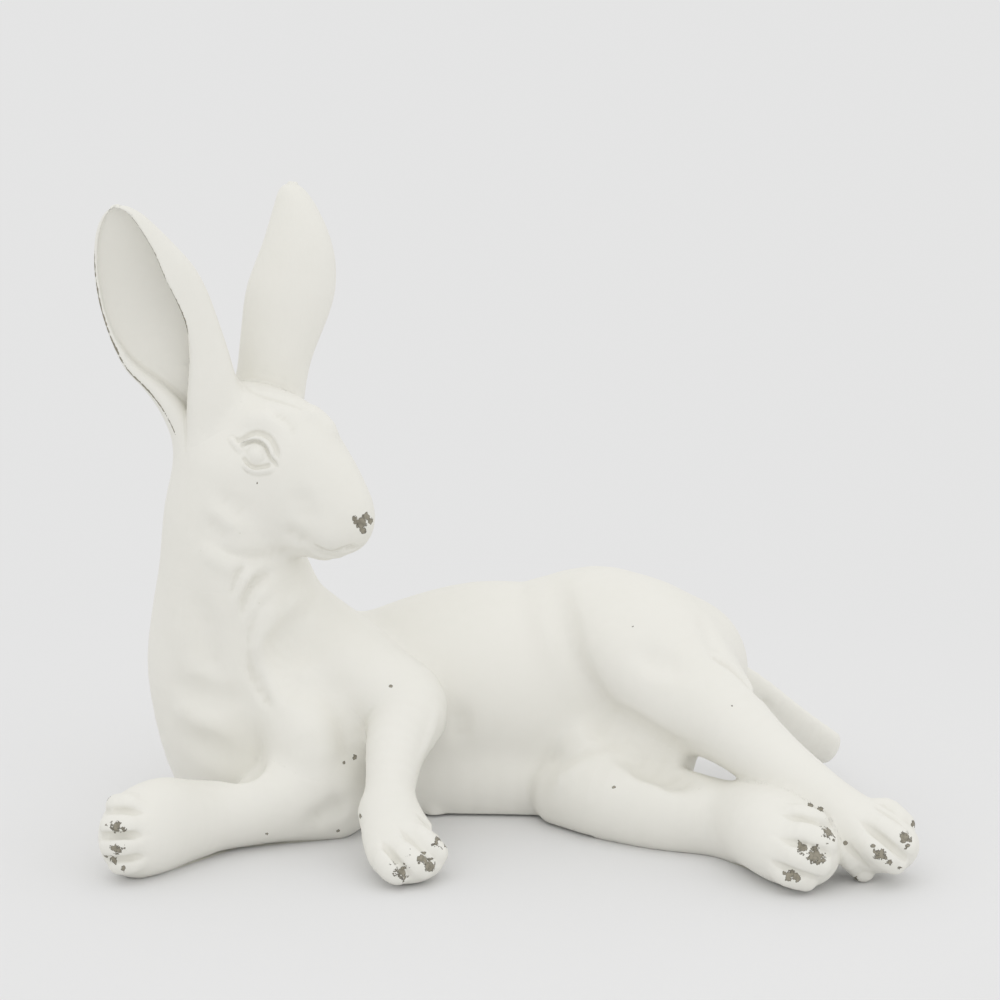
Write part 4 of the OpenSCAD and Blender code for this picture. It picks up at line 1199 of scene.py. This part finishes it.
class HareFinish(bpy.types.PropertyGroup):
    """Colours of the finishes."""

    paint: bpy.props.FloatVectorProperty(
        name="Paint", description="Off-white paint of the castings",
        default=(0.82, 0.808, 0.755), **COLOUR)
    tint: bpy.props.FloatVectorProperty(
        name="Tint", description="Tone that the paint drifts to in clouds",
        default=(0.795, 0.785, 0.725), **COLOUR)
    painted_shade: bpy.props.FloatVectorProperty(
        # Painted shade: the tone that creases and pits are darkened toward, standing in for their shade
        name="Painted Shade", description="Tone that settles in creases",
        default=(0.66, 0.645, 0.57), **COLOUR)
    bare: bpy.props.FloatVectorProperty(
        name="Bare casting", description="Casting where the paint is chipped",
        default=(0.34, 0.315, 0.25), **COLOUR)
    core: bpy.props.FloatVectorProperty(
        name="Core", description="Darker grain of the bare casting",
        default=(0.13, 0.12, 0.095), **COLOUR)
    plate: bpy.props.FloatVectorProperty(
        name="Plate", description="Closing plate underneath", default=(0.60, 0.57, 0.50), **COLOUR)
    steel: bpy.props.FloatVectorProperty(
        name="Steel", description="Dowels and pins", default=(0.62, 0.63, 0.65), **COLOUR)
    felt: bpy.props.FloatVectorProperty(
        name="Felt", description="Pads underneath", default=(0.055, 0.052, 0.05), **COLOUR)


class HareDetail(bpy.types.PropertyGroup):
    """Step of the clay that each kind of casting is cut from, in hundredths of the figure."""

    body: bpy.props.FloatProperty(
        name="Body", description="Step of the body's clay", default=0.33, **STEP)
    head: bpy.props.FloatProperty(
        name="Head", description="Step of the head's clay", default=0.17, **STEP)
    ears: bpy.props.FloatProperty(
        name="Ears", description="Step of the ears' clay", default=0.16, **STEP)
    limbs: bpy.props.FloatProperty(
        name="Limbs", description="Step of the limbs' clay", default=0.19, **STEP)


class HareStage(bpy.types.PropertyGroup):
    """The floor, the lamps and the air round the figure."""

    floor: bpy.props.FloatVectorProperty(
        name="Floor", description="Colour of the floor and of what lies behind it",
        default=(0.78, 0.78, 0.78), **COLOUR)
    reach: bpy.props.FloatProperty(
        name="Reach", description="Radius of the floor", default=9.0, min=2, unit="LENGTH")
    air: bpy.props.FloatProperty(
        name="Air", description="Strength of the light from all round", default=0.97, min=0)
    key: bpy.props.FloatProperty(
        name="Key", description="Power of the large lamp above, in watts", default=4.0, min=0)
    side: bpy.props.FloatProperty(
        name="Side", description="Power of the lamp from the front right, in watts",
        default=2.5, min=0)


@functools.cache
def figure():
    """The figure's forms, worked out once."""
    return Figure()


def set_casting(name, step, cuts=None, node=None, floor=0.0):
    """Casts a part of the figure, paints it, and lets it stand for its node. A casting without
    cuts of its own is one limb, and a limb's node has its name."""
    piece = cast(figure(), name, step, floor, cuts or [(name, 1)])
    finish_with(piece, paint())
    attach(piece, "root")
    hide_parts(node or name)


class HARE_OT_body(bpy.types.Operator):
    """Casts the body: the figure without its head and limbs, cut level and seated on its plate"""

    bl_idname = "hare.body"
    bl_label = "Body"

    def execute(self, context):
        cuts = [(name, -1) for name in ("head", "left_foreleg", "right_foreleg", "left_hind_leg",
                                        "right_hind_leg", "tail")]
        set_casting("body", context.scene.hare_detail.body, cuts, "body_shell", PAD_TOP)
        return {"FINISHED"}


class HARE_OT_head(bpy.types.Operator):
    """Casts the head with its eyes, brows, cheeks, muzzle and the upper neck"""

    bl_idname = "hare.head"
    bl_label = "Head"

    def execute(self, context):
        cuts = [("head", 1), ("left_ear", -1), ("right_ear", -1)]
        set_casting("head", context.scene.hare_detail.head, cuts, floor=FLOORLESS)
        return {"FINISHED"}


class HARE_OT_ears(bpy.types.Operator):
    """Casts the two ears, cupped leaves with thin rims"""

    bl_idname = "hare.ears"
    bl_label = "Ears"

    def execute(self, context):
        for name in ("right_ear", "left_ear"):
            set_casting(name, context.scene.hare_detail.ears, floor=FLOORLESS)
        return {"FINISHED"}


class HARE_OT_forelegs(bpy.types.Operator):
    """Casts the forelegs: the upper one bent at the elbow, the lower one along the ground"""

    bl_idname = "hare.forelegs"
    bl_label = "Forelegs"

    def execute(self, context):
        for name in ("left_foreleg", "right_foreleg"):
            set_casting(name, context.scene.hare_detail.limbs)
        return {"FINISHED"}


class HARE_OT_hind_legs(bpy.types.Operator):
    """Casts the hind legs, crossed at the feet with a gap between the shanks"""

    bl_idname = "hare.hind_legs"
    bl_label = "Hind Legs"

    def execute(self, context):
        for name in ("left_hind_leg", "right_hind_leg"):
            set_casting(name, context.scene.hare_detail.limbs)
        return {"FINISHED"}


class HARE_OT_tail(bpy.types.Operator):
    """Casts the flat tail behind the hind legs"""

    bl_idname = "hare.tail"
    bl_label = "Tail"

    def execute(self, context):
        set_casting("tail", context.scene.hare_detail.limbs)
        return {"FINISHED"}


class HARE_OT_fittings(bpy.types.Operator):
    """Finishes the plate, the pads, and the dowels and pins inside"""

    bl_idname = "hare.fittings"
    bl_label = "Plate, Pads and Pins"

    def execute(self, context):
        look = context.scene.hare_finish
        plate, steel, felt = plate_material(look), steel_material(look), felt_material(look)
        for node, made in (("base_plate", plate), ("felt_pads", felt), ("limb_dowels", steel),
                           ("ear_pins", steel), ("tail_pin", steel)):
            finish_with(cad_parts[node], made)
        return {"FINISHED"}


# The floor: the sides of its outline, and its height, a little below the pads
FLOOR_SIDES = 64
FLOOR_Z = -0.0002


def lamp(name, size, power, place, aim):
    """A square soft lamp that points at a place."""
    data = bpy.data.lights.new(name, "AREA")
    data.shape, data.size, data.energy = "SQUARE", size, power
    made = bpy.data.objects.new(name, data)
    made.location = place
    made.rotation_euler = (Vector(aim) - Vector(place)).to_track_quat("-Z", "Y").to_euler()
    bpy.context.scene.collection.objects.link(made)


def shown_or_real(tree, shown, real):
    """One shader for the camera, glossy and see-through rays, another for all other light."""
    ray = tree.add("ShaderNodeLightPath").outputs
    share = tree.maths("MAXIMUM", ray["Is Camera Ray"],
                       tree.maths("MAXIMUM", ray["Is Glossy Ray"], ray["Is Transmission Ray"]))
    return tree.add("ShaderNodeMixShader", share, real, shown).outputs[0]


def floor_material(look):
    """Pale floor that keeps the figure's shadow near it and turns into a plain backdrop."""
    made, tree, shader, place = material("studio_floor")
    shader.inputs["Roughness"].default_value = 1.0
    shader.inputs["Specular IOR Level"].default_value = 0.0
    shader.inputs["Base Color"].default_value = (*look.floor, 1)
    plain = tree.add("ShaderNodeEmission", Color=(*look.floor, 1)).outputs[0]
    away = tree.add("ShaderNodeVectorMath", place, operation="LENGTH").outputs["Value"]
    far = tree.ramp(away, 0.24, 0.62)
    backdrop = tree.add("ShaderNodeMixShader", far, shader.outputs[0], plain).outputs[0]
    output = made.node_tree.nodes["Material Output"]
    tree.give(output.inputs["Surface"], shown_or_real(tree, backdrop, shader.outputs[0]))
    return made


def soft_air(look):
    """A world that lights evenly from all round and shows the floor's colour behind."""
    world = bpy.data.worlds.new("soft_air")
    world.use_nodes = True
    world.node_tree.nodes.clear()
    tree = Tree(world.node_tree)
    air = tree.add("ShaderNodeBackground", (1, 1, 1, 1), look.air).outputs[0]
    shown = tree.add("ShaderNodeBackground", (*look.floor, 1), 1.0).outputs[0]
    tree.add("ShaderNodeOutputWorld", shown_or_real(tree, shown, air))
    return world


def photo_view(reach):
    """The camera of the photograph's view, which sees as far as `reach`."""
    data = bpy.data.cameras.new("photo_view")
    data.sensor_width = SENSOR
    data.lens = SENSOR * VIEW_FOCAL / PICTURE
    data.clip_end = reach
    camera = bpy.data.objects.new("photo_view", data)
    camera.location = to_frame(VIEW_FROM)
    camera.rotation_euler = Vector(-VIEW_BACK).to_track_quat("-Z", "Y").to_euler()
    bpy.context.scene.collection.objects.link(camera)
    return camera


class HARE_OT_stage(bpy.types.Operator):
    """Sets the pale floor, the soft lamps, and the camera at the photograph's angle"""

    bl_idname = "hare.stage"
    bl_label = "Stage"

    def execute(self, context):
        scene, look = context.scene, context.scene.hare_stage
        turn = np.linspace(0, 2 * np.pi, FLOOR_SIDES, endpoint=False)
        ring = np.stack([look.reach * np.cos(turn), look.reach * np.sin(turn),
                         np.full(FLOOR_SIDES, FLOOR_Z)], 1)
        floor = put_mesh("studio_floor", ring, np.arange(FLOOR_SIDES)[None])
        floor.data.materials.append(floor_material(look))
        middle = to_frame((0, 0, 30))
        lamp("key_lamp", 2.2, look.key, middle + (-0.5, -1.0, 2.2), middle)
        lamp("side_lamp", 1.6, look.side, middle + (1.8, -1.6, 0.9), middle)
        scene.world = soft_air(look)
        scene.camera = photo_view(look.reach * 4)
        scene.view_settings.view_transform = "Standard"
        return {"FINISHED"}


class HARE_PT_panel(bpy.types.Panel):
    """The hare's pieces and finishes"""

    bl_idname = "HARE_PT_panel"
    bl_label = "Reclining Hare"
    bl_space_type = "VIEW_3D"
    bl_region_type = "UI"
    bl_category = "Hare"

    def draw(self, context):
        for made in OPERATORS:
            self.layout.operator(made.bl_idname)
        for name, made in GROUPS.items():
            box = self.layout.box()
            for key in made.__annotations__:
                box.prop(getattr(context.scene, name), key)


OPERATORS = [HARE_OT_stage, HARE_OT_body, HARE_OT_head, HARE_OT_ears, HARE_OT_forelegs,
             HARE_OT_hind_legs, HARE_OT_tail, HARE_OT_fittings]
GROUPS = {"hare_finish": HareFinish, "hare_detail": HareDetail, "hare_stage": HareStage}


def register():
    """Registers the classes, and hangs the groups on the scene."""
    for made in [*GROUPS.values(), *OPERATORS, HARE_PT_panel]:
        bpy.utils.register_class(made)
    for name, made in GROUPS.items():
        setattr(bpy.types.Scene, name, bpy.props.PointerProperty(type=made))


def unregister():
    """Takes the groups and the classes away again."""
    for name in GROUPS:
        delattr(bpy.types.Scene, name)
    for made in [HARE_PT_panel, *reversed(OPERATORS), *GROUPS.values()]:
        bpy.utils.unregister_class(made)


def main():
    """Builds the stage and all pieces."""
    register()
    bpy.ops.hare.stage()
    bpy.ops.hare.body()
    bpy.ops.hare.head()
    bpy.ops.hare.ears()
    bpy.ops.hare.forelegs()
    bpy.ops.hare.hind_legs()
    bpy.ops.hare.tail()
    bpy.ops.hare.fittings()


if __name__ == "__main__":
    main()
